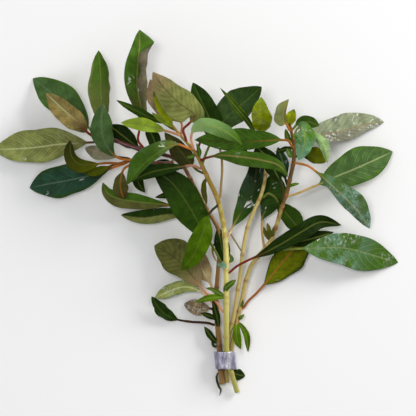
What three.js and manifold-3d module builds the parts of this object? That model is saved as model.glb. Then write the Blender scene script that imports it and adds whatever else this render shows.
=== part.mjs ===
// A tied bunch of five cut Ludwigia stems with their leaves, lying on a flat surface.
// Units are millimetres. The origin is the middle of the flat underside of the metal strip
// that holds the stems together. +Z is up, and the stems run along +Y to their tips.

import * as THREE from "three";
import { mergeVertices } from "three/addons/utils/BufferGeometryUtils.js";
import Module from "manifold-3d";

const wasm = await Module();
wasm.setup();

// Driving dimensions
const STRIP_WIDTH = 10.8;
const STRIP_ACROSS = 12.6;
const STRIP_HEIGHT = 9.6;
const STRIP_THICKNESS = 0.8;
const STRIP_CORNER = 3.0;
const LEAF_THICKNESS = 0.7;
const STALK_HALF_WIDTH = 0.75;
const STALK_THICKNESS = 1.3;
const CLEARANCE = 0.8;

const COLOURS = {
  stemGreen: 0xa8a24c,
  stemTan: 0xb08a50,
  stemRed: 0x8f4638,
  dark: 0x24401f,
  mid: 0x3f6420,
  bright: 0x4b7a12,
  lime: 0x8a9a28,
  underside: 0x77784a,
  rosy: 0x7d6850,
  bluish: 0x4f7a68,
  metal: 0x9a98a8,
};

const group = new THREE.Group();

function matte(colour, roughness = 0.5) {
  return new THREE.MeshStandardMaterial({ color: COLOURS[colour], roughness, metalness: 0 });
}

function addMesh(name, geometry, material) {
  const mesh = new THREE.Mesh(geometry, material);
  mesh.name = name;
  group.add(mesh);
}

// A closed skin over rings of points, from a flat first ring to a pointed or flat last one
function skin(rings) {
  const count = rings[0].length;
  const points = rings.flat();
  const faces = [];
  for (let i = 0; i + 1 < rings.length; i++) {
    for (let j = 0; j < count; j++) {
      const a = i * count + j;
      const b = i * count + ((j + 1) % count);
      faces.push(a, b, a + count, b, b + count, a + count);
    }
  }
  const last = (rings.length - 1) * count;
  for (let j = 1; j + 1 < count; j++) {
    faces.push(0, j + 1, j);
    faces.push(last, last + j, last + j + 1);
  }
  const geometry = new THREE.BufferGeometry();
  const numbers = points.flatMap((p) => p.toArray());
  geometry.setAttribute("position", new THREE.Float32BufferAttribute(numbers, 3));
  geometry.setIndex(faces);
  return geometry;
}

function vectors(path) {
  return path.map((p) => new THREE.Vector3(...p));
}

function smoothCurve(points) {
  return new THREE.CatmullRomCurve3(points, false, "centripetal");
}

// Interpolates a list of [position, value] pairs
function between(list, at) {
  for (let i = 1; i < list.length; i++) {
    if (at <= list[i][0]) {
      const share = (at - list[i - 1][0]) / (list[i][0] - list[i - 1][0]);
      return list[i - 1][1] + share * (list[i][1] - list[i - 1][1]);
    }
  }
  return list[list.length - 1][1];
}

// Directions across and up from a path that runs along the surface
function axesAt(tangent) {
  const right = new THREE.Vector3().crossVectors(tangent, new THREE.Vector3(0, 0, 1)).normalize();
  const up = new THREE.Vector3().crossVectors(right, tangent).normalize();
  return { right, up };
}

// Stems: a round tube along a route, thinner towards the tip
const STEM_SIDES = 8;

function stemGeometry({ curve, radii, steps }) {
  const rings = [];
  for (let i = 0; i <= steps; i++) {
    const at = i / steps;
    const centre = curve.getPointAt(at);
    const { right, up } = axesAt(curve.getTangentAt(at));
    const radius = between(radii, at);
    const ring = [];
    for (let j = 0; j < STEM_SIDES; j++) {
      const angle = ((j + 0.5) / STEM_SIDES) * 2 * Math.PI;
      const point = centre.clone().addScaledVector(right, -radius * Math.cos(angle));
      ring.push(point.addScaledVector(up, radius * Math.sin(angle)));
    }
    rings.push(ring);
  }
  return skin(rings);
}

const STEMS = {
  main: {
    name: "main_stem",
    colour: "stemGreen",
    steps: 20,
    radii: [[0, 1.5], [0.07, 1.6], [0.13, 1.8], [0.5, 1.7], [0.75, 1.4], [0.9, 1.0], [1, 0.7]],
    route: [
      [7.2, -19.2, 2.6], [3.7, -7.2, 5.6], [1.5, 0, 6.6], [0.9, 5.4, 6.8], [0.7, 18, 9], [0.7, 36, 12],
      [0.6, 54, 15.2], [0.5, 66, 17.2], [-0.6, 78, 19.2], [-2.6, 88.8, 21], [-4.8, 97.2, 23],
      [-9, 106.2, 25], [-13.2, 115.2, 27], [-15.9, 121, 28.2], [-19.2, 126, 29.6], [-24, 131.6, 31.2],
      [-28.2, 136.4, 33], [-32.4, 141.6, 35.4],
    ],
    tufts: [
      {
        path: [
          [-31.8, 140.8, 35.1], [-34.4, 145.5, 40.5], [-38.4, 152.4, 44.4], [-42.6, 160, 44.6],
        ],
        wide: 3.2,
      },
      {
        path: [[-30.4, 139.2, 34.2], [-35, 142, 38], [-39.6, 144.8, 40.2], [-43.6, 147.8, 39.8]],
        wide: 1.8,
      },
      { path: [[-15.6, 120.6, 28], [-15.4, 125, 32], [-17, 129.6, 33.6]], wide: 1.3 },
      { path: [[-17.4, 123.6, 29], [-19.8, 121.6, 31.4], [-22.8, 121.3, 31.6]], wide: 1.2 },
      { path: [[0.2, 37.8, 12.4], [-4.8, 38.1, 15.4], [-10.2, 37.4, 16.6], [-18, 34.8, 15.4]], wide: 2 },
      { path: [[-0.2, 39, 12.7], [-3.4, 40.4, 15.6], [-7.4, 42.6, 16.4], [-11.6, 43.4, 15.6]], wide: 1.3 },
      { path: [[0, 40.2, 13], [0.6, 43.4, 15.8], [3.4, 46, 16.6], [6.6, 48.4, 15.6]], wide: 1.9 },
      { path: [[1.6, 57, 15.9], [-0.4, 56.8, 18.4], [-5.2, 57.8, 17.6]], wide: 1.5 },
      { path: [[1.4, 58.4, 16], [4, 60.2, 15.6], [2.8, 64, 16.4]], wide: 1.1 },
      {
        path: [
          [-10.6, 109.6, 25.4], [-12.6, 105.6, 23], [-12.4, 99.6, 20.4], [-10.8, 93.4, 19],
        ],
        wide: 1.7,
      },
    ],
  },
  left: {
    name: "left_stem",
    colour: "stemRed",
    steps: 22,
    radii: [[0, 1.8], [0.2, 1.6], [0.4, 1.25], [0.9, 1.25], [1, 1.1]],
    route: [
      [-1.7, -14.4, 2.9], [-3.1, 0, 3.1], [-3.6, 9, 3.3], [-4.5, 21, 4], [-5.1, 33, 5.2], [-4.9, 45, 7],
      [-4, 57, 9], [-3.2, 69, 11], [-4, 78, 12], [-10, 88.8, 13], [-14.4, 96.6, 14],
      [-18, 103.2, 14.5], [-21.6, 110.4, 15], [-25.2, 116.4, 15.5], [-30.6, 121, 16], [-39, 123.5, 16],
      [-46.2, 124.8, 15.5], [-52.2, 126.6, 15], [-60, 129.3, 14.5], [-67.8, 132, 14], [-75, 132.6, 13],
      [-78.6, 132.3, 12.5],
    ],
    tufts: [
      { path: [[-3.8, 10, 3.6], [-7, 12.6, 4.8], [-10, 16.6, 4.8], [-12.4, 20.2, 4]], wide: 2 },
      { path: [[-4.8, 24, 4.4], [-8.2, 26.2, 7], [-11.2, 27.2, 7.4], [-14.6, 28.4, 7.2]], wide: 1.7 },
      { path: [[-4.3, 19, 4], [-4.2, 22.6, 7], [-5.4, 28.2, 8], [-7.4, 36.4, 9.4]], wide: 2 },
      {
        path: [
          [-2.9, -5.6, 3], [-5, -9.6, 2.6], [-3.9, -15.4, 1.6], [-2.6, -18, 1.5], [-3.4, -21.6, 1.2],
        ],
        wide: 0.7,
      },
      { path: [[-4, 8.6, 3.3], [-6.6, 8.4, 4.4], [-7.4, 11.6, 4.2], [-6.4, 13.6, 4.4]], wide: 0.9 },
      { path: [[-3.4, 72.6, 11.4], [-7.4, 68, 13], [-6.8, 62.4, 13.4], [-4.6, 58.6, 13.2]], wide: 0.6 },
      { path: [[-4, 78.4, 12], [-2.8, 73, 13], [-1.4, 66, 13], [0.8, 58, 11.6]], wide: 4.6 },
      { path: [[-17.4, 102, 14.4], [-22.4, 101, 11.4], [-31.8, 99.6, 9.8], [-42, 97.4, 9]], wide: 2.4 },
      { path: [[-39.6, 123.5, 16], [-41, 128, 18.6], [-43.2, 134, 19.6], [-46.8, 141.8, 19.4]], wide: 4 },
    ],
  },
  branch: {
    name: "left_branch",
    colour: "stemRed",
    steps: 8,
    radii: [[0, 1.0], [1, 0.9]],
    route: [
      [-32.2, 118.3, 14.2], [-40, 118.2, 13.8], [-50, 118.9, 13.4], [-57, 119.4, 13.1],
      [-59.8, 118.8, 12.8],
    ],
    tufts: [
      { path: [[-51, 118.8, 13.4], [-52.4, 113, 11], [-52, 106.8, 9.4], [-48, 100.4, 8.4]], wide: 3.4 },
    ],
  },
  middle: {
    name: "middle_stem",
    colour: "stemTan",
    steps: 20,
    radii: [[0, 1.3], [0.5, 1.2], [0.85, 1.1], [1, 0.8]],
    route: [
      [1.3, -13.5, 1.7], [0.3, 0, 2.5], [1.5, 10, 3.6], [3.2, 18, 4.6], [5.2, 27, 5.6], [7, 38, 6.6],
      [8.8, 50, 7.6], [10, 60, 8.8], [11, 68, 9.8], [13.5, 80, 11.2], [17.5, 90, 12.4], [21.5, 99, 13.2],
      [23.7, 108, 14], [24.2, 116, 15], [23.5, 124, 17], [22.5, 132, 20],
    ],
    tufts: [
      { path: [[10.2, 64.6, 9.4], [7, 69.8, 10.6], [4, 74.6, 10.8], [1.6, 78.6, 10.4]], wide: 0.5 },
    ],
  },
  right: {
    name: "right_stem",
    colour: "stemTan",
    steps: 20,
    radii: [[0, 1.25], [0.12, 1.4], [0.5, 1.4], [0.85, 1.3], [1, 0.9]],
    route: [
      [3.7, -6.8, 2.25], [3.3, 0, 2.7], [3.9, 8, 2.8], [6.2, 18, 3.2], [8.2, 28, 3.6], [10.3, 37, 4.4],
      [12.6, 48, 5.4], [16, 57, 6.4], [20.5, 63, 7.4], [27, 71, 9], [30.5, 80, 10.6], [34, 92, 12.5],
      [37, 101, 14], [39, 110, 15.5], [41, 120, 17.5], [41, 129, 20], [39.5, 136, 23], [38, 142, 26],
    ],
    tufts: [
      { path: [[7, 22.4, 3.6], [6.9, 19, 6.3], [7.2, 13.2, 6.7], [9.4, 6.6, 5.4]], wide: 2.6 },
      { path: [[7.2, 23, 3.6], [10, 20.4, 4.8], [13, 14.4, 4.2], [13.8, 4.8, 2.2]], wide: 1.9 },
      { path: [[7.3, 24.2, 3.6], [9.2, 25.4, 5.4], [11.6, 27.6, 5]], wide: 1.1 },
      { path: [[8.6, 30.4, 3.9], [10.4, 33.6, 6], [10.6, 36.4, 7]], wide: 0.9 },
      { path: [[3.7, -6.5, 1.9], [6, -8, 1.7], [8.4, -8.8, 1.6], [12, -9.6, 1.4]], wide: 3.4 },
      { path: [[27.2, 72, 9.4], [26.4, 77, 12], [25.2, 82.4, 12]], wide: 1.5 },
      { path: [[26.8, 71.6, 9.4], [24.4, 75.6, 11.4], [23, 80.2, 11.8]], wide: 1.2 },
      { path: [[27.6, 73, 9.4], [28.6, 76.4, 13], [28.6, 79.6, 14.2]], wide: 1.2 },
      { path: [[37.6, 103.4, 14.6], [40.2, 105, 17], [44.4, 105.8, 16.6]], wide: 1 },
      { path: [[40.8, 121.6, 18], [38.6, 123.6, 20.6], [36.8, 127, 21]], wide: 1.9 },
      { path: [[40.8, 130.4, 20.6], [37.6, 132.6, 22.4], [36, 138.4, 22.4]], wide: 1.7 },
      { path: [[41, 127, 19.6], [37, 126.6, 17.8], [30, 124.6, 16.6]], wide: 1.6 },
      { path: [[38.2, 140.4, 25.3], [38.6, 144, 28.6], [41.1, 149.8, 30.6]], wide: 3.3 },
    ],
  },
};

for (const stem of Object.values(STEMS)) {
  stem.curve = smoothCurve(vectors(stem.route));
}

// Where a leaf stalk leaves its stem: just clear of the bark, on the side that faces the leaf
const SEATS_TRIED = 400;

function seatOnStem(stem, target) {
  let best = 0;
  let nearest = Infinity;
  for (let i = 0; i <= SEATS_TRIED; i++) {
    const gap = stem.curve.getPointAt(i / SEATS_TRIED).distanceTo(target);
    if (gap < nearest) {
      nearest = gap;
      best = i / SEATS_TRIED;
    }
  }
  return best;
}

function leafPath({ on, from, path }) {
  const stem = STEMS[on];
  const at = seatOnStem(stem, new THREE.Vector3(...from));
  const centre = stem.curve.getPointAt(at);
  const along = stem.curve.getTangentAt(at);
  const next = new THREE.Vector3(...path[0]);
  const outward = next.clone().sub(centre);
  outward.addScaledVector(along, -outward.dot(along)).normalize();
  const start = centre.clone().addScaledVector(outward, between(stem.radii, at) + CLEARANCE);
  return smoothCurve([start, ...vectors(path)]);
}

// The outline of a blade: zero at both ends, widest at broad, drawn out to a point
const BLADE_FULLNESS = 0.85;

function bladeWidth(share, broad) {
  const even = Math.pow(Math.min(Math.max(share, 0), 1), Math.log(0.5) / Math.log(broad));
  return Math.pow(4 * even * (1 - even), BLADE_FULLNESS);
}

// One half of the cross-section, from the midrib to the margin, which may rise or roll over
const ROLL_STEPS = 24;
const ROLL_FADE = 0.16;

function halfSection(width, rise, roll, share) {
  let across = 0;
  let height = 0;
  const steps = Math.max(1, Math.round(ROLL_STEPS * share));
  for (let i = 0; i < steps; i++) {
    const v = ((i + 0.5) / steps) * share;
    const angle = THREE.MathUtils.degToRad(rise + roll * Math.pow(v, 1.5));
    across += (Math.cos(angle) * width * share) / steps;
    height += (Math.sin(angle) * width * share) / steps;
  }
  return [across, height];
}

// A leaf with its stalk: a thin closed lens along the midrib
const WIDE_LEAF = 9.8;
const STATION_SPACING = 7.4;
const FEWEST_STATIONS = 7;
const MOST_STATIONS = 11;

function leafGeometry(leaf, curve) {
  const { left, right, stalk = 0.2, broad = 0.5, tilt = 0 } = leaf;
  const { columns = left + right > WIDE_LEAF ? 2 : 1 } = leaf;
  const wanted = Math.round(curve.getLength() / STATION_SPACING);
  const stations = Math.min(Math.max(wanted, FEWEST_STATIONS), MOST_STATIONS);
  const { riseLeft = 12, riseRight = 12, rollLeft = 0, rollRight = 0, rollEnd = 1 + ROLL_FADE } = leaf;
  const rings = [];
  for (let i = 0; i <= stations; i++) {
    const at = i / stations;
    const centre = curve.getPointAt(at);
    const { right: side, up } = axesAt(curve.getTangentAt(at));
    const share = (at - stalk) / (1 - stalk);
    const blade = bladeWidth(share, broad);
    const stalkShare = 1 - Math.min(1, blade * 4);
    const end = i === stations ? 0.35 : 1;
    const thickness = (LEAF_THICKNESS + (STALK_THICKNESS - LEAF_THICKNESS) * stalkShare) * end;
    const turn = THREE.MathUtils.degToRad(tilt) * Math.min(1, blade * 2);
    const rolled = Math.min(1, blade * 1.6, Math.max(0, (rollEnd - share) / ROLL_FADE));
    const place = (across, height) => {
      const x = across * Math.cos(turn) - height * Math.sin(turn);
      const z = across * Math.sin(turn) + height * Math.cos(turn);
      return centre.clone().addScaledVector(side, x).addScaledVector(up, z);
    };
    const upper = [];
    const lower = [];
    for (let j = -columns; j <= columns; j++) {
      const share = Math.abs(j) / columns;
      const width = Math.max((j < 0 ? left : right) * blade, STALK_HALF_WIDTH * end);
      const rise = (j < 0 ? riseLeft : riseRight) * (1 - stalkShare);
      const roll = (j < 0 ? rollLeft : rollRight) * rolled;
      const [across, height] = halfSection(width, rise, roll, share);
      const x = Math.sign(j) * across;
      const half = (thickness / 2) * (1 - 0.35 * share);
      if (share === 1) {
        upper.push(place(x, height));
      } else {
        const lean = THREE.MathUtils.degToRad(rise + roll * Math.pow(share, 1.5)) * Math.sign(j);
        upper.push(place(x - half * Math.sin(lean), height + half * Math.cos(lean)));
        lower.push(place(x + half * Math.sin(lean), height - half * Math.cos(lean)));
      }
    }
    rings.push([...upper, ...lower.reverse()]);
  }
  return skin(rings);
}

// A small young leaf, a flat pointed lens that is fused to its stem
const TUFT_STEPS = 4;
const TUFT_STALK_HALF_WIDTH = 0.3;
const TUFT_HALF_THICKNESS = 0.35;
const TUFT_TIP_HALF_THICKNESS = 0.12;

function tuftGeometry({ path, wide }) {
  const curve = smoothCurve(vectors(path));
  const rings = [];
  for (let i = 0; i <= TUFT_STEPS; i++) {
    const at = i / TUFT_STEPS;
    const centre = curve.getPointAt(at);
    const { right, up } = axesAt(curve.getTangentAt(at));
    const width = Math.max(wide * bladeWidth(0.08 + 0.92 * at, 0.55), TUFT_STALK_HALF_WIDTH);
    const half = i === TUFT_STEPS ? TUFT_TIP_HALF_THICKNESS : TUFT_HALF_THICKNESS;
    rings.push([
      centre.clone().addScaledVector(right, -width),
      centre.clone().addScaledVector(up, half),
      centre.clone().addScaledVector(right, width),
      centre.clone().addScaledVector(up, -half),
    ]);
  }
  return skin(rings);
}

function toSolid(geometry) {
  const plain = new THREE.BufferGeometry();
  plain.setAttribute("position", geometry.getAttribute("position"));
  plain.setIndex(geometry.getIndex());
  const merged = mergeVertices(plain, 1e-4);
  return new wasm.Manifold(
    new wasm.Mesh({
      numProp: 3,
      vertProperties: Float32Array.from(merged.getAttribute("position").array),
      triVerts: Uint32Array.from(merged.getIndex().array),
    }),
  );
}

function fromSolid(solid) {
  const { vertProperties, triVerts } = solid.getMesh();
  const geometry = new THREE.BufferGeometry();
  geometry.setAttribute("position", new THREE.BufferAttribute(Float32Array.from(vertProperties), 3));
  geometry.setIndex(new THREE.BufferAttribute(Uint32Array.from(triVerts), 1));
  return geometry;
}

function addStem(stem) {
  let solid = toSolid(stemGeometry(stem));
  for (const tuft of stem.tufts) {
    solid = solid.add(toSolid(tuftGeometry(tuft)));
  }
  addMesh(stem.name, fromSolid(solid), matte(stem.colour, 0.4));
}

// The metal strip: bent once round the stems, pressed flat below
function addPlantWeight() {
  const outline = (across, height, corner) => {
    const shape = new THREE.Shape();
    const w = across / 2;
    const h = height / 2;
    shape.moveTo(-w + corner, -h);
    shape.lineTo(w - corner, -h);
    shape.absarc(w - corner, -h + corner, corner, -Math.PI / 2, 0, false);
    shape.absarc(w - corner, h - corner, corner, 0, Math.PI / 2, false);
    shape.absarc(-w + corner, h - corner, corner, Math.PI / 2, Math.PI, false);
    shape.absarc(-w + corner, -h + corner, corner, Math.PI, (3 * Math.PI) / 2, false);
    return shape;
  };
  const shape = outline(STRIP_ACROSS, STRIP_HEIGHT, STRIP_CORNER);
  const inside = 2 * STRIP_THICKNESS;
  const corner = STRIP_CORNER - STRIP_THICKNESS;
  shape.holes.push(outline(STRIP_ACROSS - inside, STRIP_HEIGHT - inside, corner));
  const along = { depth: STRIP_WIDTH, bevelEnabled: false, curveSegments: 4 };
  const geometry = new THREE.ExtrudeGeometry(shape, along);
  geometry.translate(0, 0, -STRIP_WIDTH / 2);
  geometry.rotateX(Math.PI / 2);
  geometry.translate(0, 0, STRIP_HEIGHT / 2);
  const metal = new THREE.MeshStandardMaterial({ color: COLOURS.metal, roughness: 0.55, metalness: 0.6 });
  addMesh("plant_weight", geometry, metal);
}

// Each leaf: the stem that it grows on, the place of its node there, its midrib from the stalk to the
// tip, and the half-widths of its blade on the left and right, looking from the stem to the tip
const LEAVES = {
  main_leaf_lime: {
    on: "main", from: [-27.6, 135.8, 32.7], colour: "lime", left: 3.4, right: 4.6, stalk: 0.26,
    path: [[-32.6, 136.2, 37.6], [-39, 137.7, 41], [-48, 139.8, 43], [-61.8, 141.6, 41]],
  },
  main_leaf_narrow: {
    on: "main", from: [-30.6, 139, 34.2], colour: "dark", left: 2.4, right: 2.6, stalk: 0.12,
    path: [[-36.4, 141.4, 34.6], [-45, 145.2, 35], [-55, 150, 34.5], [-64.6, 155.2, 32.5]],
  },
  main_leaf_olive: {
    on: "main", from: [-24.4, 132, 31.3], colour: "underside",
    left: 9.6, right: 8.9, stalk: 0.28, broad: 0.39,
    path: [
      [-24.8, 137.6, 37.4], [-21, 141.6, 43], [-18, 145.8, 46.4], [-27, 153, 49], [-36, 162, 49],
      [-42.8, 171.6, 45],
    ],
    riseLeft: -8, riseRight: -8,
  },
  main_leaf_rosy: {
    on: "main", from: [-27.2, 135.3, 32.6], colour: "rosy", left: 8.2, right: 4.6, stalk: 0.16,
    path: [[-25.8, 141.2, 34.6], [-31, 148.8, 36.8], [-38.8, 157, 39.4], [-44.4, 167.4, 39.4]],
    riseLeft: -6, riseRight: -6,
  },
  main_leaf_arched: {
    on: "main", from: [-20.2, 127.2, 30], colour: "mid", left: 4.6, right: 4.8, stalk: 0.22,
    path: [
      [-20.2, 132.4, 36], [-18.8, 137, 44.4], [-13.6, 140, 51.6], [-6, 138.9, 53.6],
      [3, 134.4, 51.2], [10.2, 128.4, 45.6],
    ],
    riseLeft: -10, riseRight: -16,
  },
  main_leaf_top: {
    on: "main", from: [-4.6, 97.6, 23], colour: "dark", left: 7.6, right: 7.4, stalk: 0.42,
    path: [
      [-2.4, 105, 24.6], [-1.8, 114, 26.6], [-2.4, 123, 28], [-5.4, 133.8, 30.4], [-9.6, 145.2, 33],
      [-14.4, 155.4, 35], [-19.2, 165.6, 35],
    ],
  },
  main_leaf_back: {
    on: "main", from: [-14.6, 118.6, 27.6], colour: "dark", left: 10.6, right: 8.2, stalk: 0.2,
    broad: 0.56,
    path: [[-10.4, 126, 25.6], [-6, 135, 25], [1.8, 146, 26], [12, 154.6, 28.6], [21.6, 163.2, 30.6]],
  },
  main_leaf_long: {
    on: "main", from: [-14.9, 119.4, 28], colour: "mid", left: 4.2, right: 5.2, stalk: 0.14,
    path: [
      [-11, 121, 33], [-3, 122.4, 36.6], [9, 121.5, 39], [22.2, 119.4, 39.2], [31.8, 116.4, 37.4],
      [37.2, 109.8, 34],
    ],
    riseLeft: -6, riseRight: -10,
  },
  main_leaf_front: {
    on: "main", from: [-20, 126.8, 29.8], colour: "mid", left: 3.2, right: 7.6, stalk: 0.2, tilt: -12,
    path: [
      [-24, 127.6, 35.6], [-28.2, 128.9, 39], [-34.2, 127.2, 40.4], [-42, 122.4, 39],
      [-49.8, 115.8, 35], [-58.2, 105, 28],
    ],
  },
  main_leaf_low: {
    on: "main", from: [-13.4, 115.6, 27], colour: "dark", left: 3.6, right: 3.8, stalk: 0.2,
    path: [
      [-19.2, 116.4, 28.2], [-25.8, 115.8, 28.4], [-34.2, 114.6, 27.4], [-45, 112.2, 24.6],
      [-56.4, 106.8, 20.6],
    ],
  },
  main_leaf_hanging: {
    on: "main", from: [-3.8, 93, 22], colour: "bright", left: 6.6, right: 6.4, stalk: 0.2, broad: 0.45,
    path: [[-8.2, 89.4, 27], [-10.8, 84.6, 30.6], [-13.8, 75, 33], [-18.6, 63.6, 31], [-26.4, 54, 25]],
    riseLeft: -10, riseRight: -14,
  },
  main_leaf_shaded: {
    on: "main", from: [-18, 124.4, 29.2], colour: "dark", left: 5, right: 5, stalk: 0.16,
    path: [[-14.4, 130.4, 31.6], [-7, 132.4, 33], [3, 130.4, 33.4], [13.6, 123.4, 32.6]],
    riseLeft: 2, riseRight: 2, columns: 1,
  },
  main_leaf_outer: {
    on: "main", from: [1, 53, 15], colour: "dark", left: 5.2, right: 5, stalk: 0.22, broad: 0.52,
    path: [
      [6.4, 56, 17.2], [12, 59.2, 19], [22.2, 63.9, 20], [34.2, 70.2, 20], [46.2, 77.4, 18],
      [57, 82.8, 13], [69.6, 81, 6],
    ],
  },
  main_leaf_round: {
    on: "main", from: [0.6, 30, 11], colour: "underside", left: 9, right: 11.4, stalk: 0.3, broad: 0.6,
    path: [
      [-5, 34.8, 12.6], [-12, 41.4, 12.8], [-17.8, 48.4, 12.2], [-25.4, 57.4, 11], [-33.4, 63.8, 9],
      [-42.4, 68.6, 6],
    ],
    riseLeft: -4, riseRight: 4,
  },
  main_leaf_broad: {
    on: "main", from: [0.8, 58, 15.8], colour: "mid", left: 10, right: 9.6, stalk: 0.22,
    path: [
      [-5.6, 65, 17.6], [-13.2, 77.4, 18.6], [-21.8, 92.6, 19.6], [-31, 105.4, 19.6], [-43, 115, 18.8],
    ],
    riseLeft: 4, riseRight: 2,
  },
  main_leaf_under: {
    on: "main", from: [-11.8, 112.4, 26.3], colour: "dark", left: 6.2, right: 5, stalk: 0.24, broad: 0.34,
    path: [[-16.8, 113.8, 23.4], [-21.6, 119, 23.4], [-27.6, 126.4, 24.2], [-36, 136.2, 26]],
    riseLeft: 2, riseRight: 2,
  },
  main_leaf_sleek: {
    on: "main", from: [0.2, 72, 18.2], colour: "dark", left: 6.4, right: 6.4, stalk: 0.16,
    path: [
      [3.8, 78.4, 12], [8.6, 87, 9.4], [13.2, 96, 8.8], [17.2, 106.2, 9], [19, 117, 9.4],
      [18.4, 127.4, 10.4],
    ],
    riseLeft: 8, riseRight: 2,
  },
  left_leaf_far: {
    on: "left", from: [-78.6, 132.3, 12.5], colour: "underside",
    left: 9.4, right: 11.2, stalk: 0.06, broad: 0.52,
    path: [
      [-84.4, 130.2, 12], [-99, 129.3, 11], [-114, 127.4, 8.4], [-127, 126.6, 5.6], [-139, 126.3, 2.6],
    ],
    riseLeft: 6, riseRight: 6,
  },
  left_leaf_upper: {
    on: "left", from: [-77.2, 132.4, 12.8], colour: "dark", left: 9, right: 9.6, stalk: 0.12,
    path: [
      [-80.8, 138.4, 13.6], [-86.4, 145, 14], [-96, 154.2, 12.6], [-106.2, 162, 7.4],
      [-115.2, 168.9, 0.3],
    ],
    riseLeft: 5, riseRight: 5,
  },
  left_leaf_young: {
    on: "left", from: [-78.3, 132.3, 12.5], colour: "rosy", left: 7.2, right: 5.8, stalk: 0.16,
    broad: 0.46,
    path: [[-82.4, 136.6, 18.4], [-87.6, 142.4, 21.4], [-96, 149.6, 22.4], [-106.8, 159.8, 19.4]],
  },
  left_leaf_upright: {
    on: "left", from: [-74.6, 132.6, 13], colour: "mid", left: 7.6, right: 6.4, stalk: 0.16, broad: 0.44,
    path: [
      [-74.6, 139.2, 16.6], [-73.8, 148.8, 18.6], [-74.1, 162, 18.6], [-74.4, 174, 15.4],
      [-75.6, 185.4, 10.4],
    ],
    rollRight: 40,
  },
  left_leaf_shade: {
    on: "left", from: [-51, 126.2, 15.2], colour: "dark", left: 5.6, right: 5.6, stalk: 0.06,
    path: [[-55.4, 130, 11.4], [-61, 134.4, 9.6], [-69.6, 141, 7.4]],
    riseLeft: 0, riseRight: 0,
  },
  left_leaf_tall: {
    on: "left", from: [-49, 125.6, 15.3], colour: "dark", left: 7.4, right: 15, stalk: 0.24,
    path: [
      [-51.8, 131.4, 20], [-51, 138, 23], [-49.8, 148.2, 25.4], [-52.2, 162, 26], [-52.2, 174, 25],
      [-51, 187.2, 21], [-51, 197.6, 16.4],
    ],
    riseLeft: 4, riseRight: 0, rollRight: 225, rollEnd: 0.86, columns: 5,
  },
  left_leaf_folded: {
    on: "left", from: [-14, 95.8, 13.9], colour: "mid", left: 5.2, right: 5, stalk: 0.24, broad: 0.6,
    path: [
      [-19.8, 93.9, 12], [-27, 92.4, 11], [-39, 93.6, 10.4], [-54, 95.2, 10.8], [-65, 97.2, 11.4],
      [-70.4, 100.6, 12], [-73.2, 106.4, 12],
    ],
    riseLeft: -10, riseRight: 16, columns: 1,
  },
  left_leaf_boat: {
    on: "left", from: [-9.6, 87.8, 12.9], colour: "dark", left: 4.6, right: 4.6, stalk: 0.2, broad: 0.56,
    path: [[-16, 87.6, 8.4], [-24, 88, 6], [-36, 87.6, 5], [-48, 85.8, 4], [-62.4, 87, 2]],
    riseLeft: 6, riseRight: 14,
  },
  left_leaf_dusk: {
    on: "left", from: [-24.6, 115.6, 15.4], colour: "dark", left: 5, right: 5, stalk: 0.1,
    path: [[-29, 115.2, 12], [-36, 115.4, 10.4], [-42, 114.6, 9.4], [-48.4, 112.8, 8.4]],
    riseLeft: 0, riseRight: 0,
  },
  left_leaf_tan: {
    on: "left", from: [-4.9, 41, 6.4], colour: "rosy", left: 6.6, right: 6.4, stalk: 0.18,
    path: [[-8.6, 45.6, 7.4], [-12.6, 52.4, 7.2], [-16.8, 60, 6.6], [-23, 70.4, 4.6]],
    riseLeft: 0, riseRight: 0,
  },
  left_leaf_wet: {
    on: "left", from: [-5, 34.2, 5.4], colour: "lime", left: 4, right: 4.4, stalk: 0.2, broad: 0.6,
    path: [[-10, 37.6, 6.2], [-16.2, 42, 5.8], [-24, 44, 5], [-31.8, 42, 4], [-42, 37.2, 3]],
  },
  left_leaf_stray: {
    on: "left", from: [-4.5, 21.6, 4.1], colour: "dark", left: 3.8, right: 4.2, stalk: 0.48, broad: 0.5,
    path: [[-10.2, 22.3, 3.4], [-21, 23.1, 2.6], [-29.4, 24.6, 2.2], [-37.2, 28.8, 3.2], [-44, 38.2, 8]],
    rollLeft: 30,
  },
  left_leaf_brown: {
    on: "left", from: [-5, 30.4, 4.9], colour: "rosy", left: 4.8, right: 4.6, stalk: 0.12,
    path: [[-10, 31.2, 3.6], [-15, 31.5, 2.8], [-24.6, 33.6, 1.8]],
    riseLeft: 4, riseRight: 2,
  },
  branch_leaf_front: {
    on: "branch", from: [-55.2, 119.3, 13.2], colour: "mid", left: 6.6, right: 6.8, stalk: 0.28,
    broad: 0.54,
    path: [[-63, 120.8, 21.6], [-68, 124.6, 26.6], [-72.2, 132, 30], [-73.6, 141, 31.6], [-72.6, 152.9, 29]],
    riseLeft: -8, riseRight: -8,
  },
  branch_leaf_dark: {
    on: "branch", from: [-59.6, 118.8, 12.8], colour: "dark", left: 9.4, right: 10, stalk: 0.16, broad: 0.6,
    path: [
      [-65, 116, 9.6], [-72, 113.6, 7.4], [-82.2, 110.4, 5.8], [-96, 107.4, 4.2], [-106.2, 105.6, 2.4],
      [-117.2, 103.2, 0.3],
    ],
    riseLeft: 4, riseRight: 5,
  },
  branch_leaf_grey: {
    on: "branch", from: [-57.8, 119.4, 13.1], colour: "rosy",
    left: 4.4, right: 3.6, stalk: 0.2, broad: 0.6,
    path: [[-63.6, 121.6, 13.4], [-68.6, 122.6, 12.6], [-75.4, 124.4, 10.4], [-83.8, 127.2, 7]],
    riseLeft: 2, riseRight: 0,
  },
  branch_leaf_fallen: {
    on: "branch", from: [-54.6, 119.2, 13.2], colour: "rosy",
    left: 4.8, right: 4.6, stalk: 0.34, broad: 0.56,
    path: [[-60.2, 114.6, 17], [-62.1, 109.2, 18.4], [-62.4, 103.2, 18], [-60.4, 96.4, 16]],
  },
  branch_leaf_yellow: {
    on: "branch", from: [-59.6, 118.8, 12.8], colour: "lime",
    left: 2.9, right: 2.9, stalk: 0.36, broad: 0.55,
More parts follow.
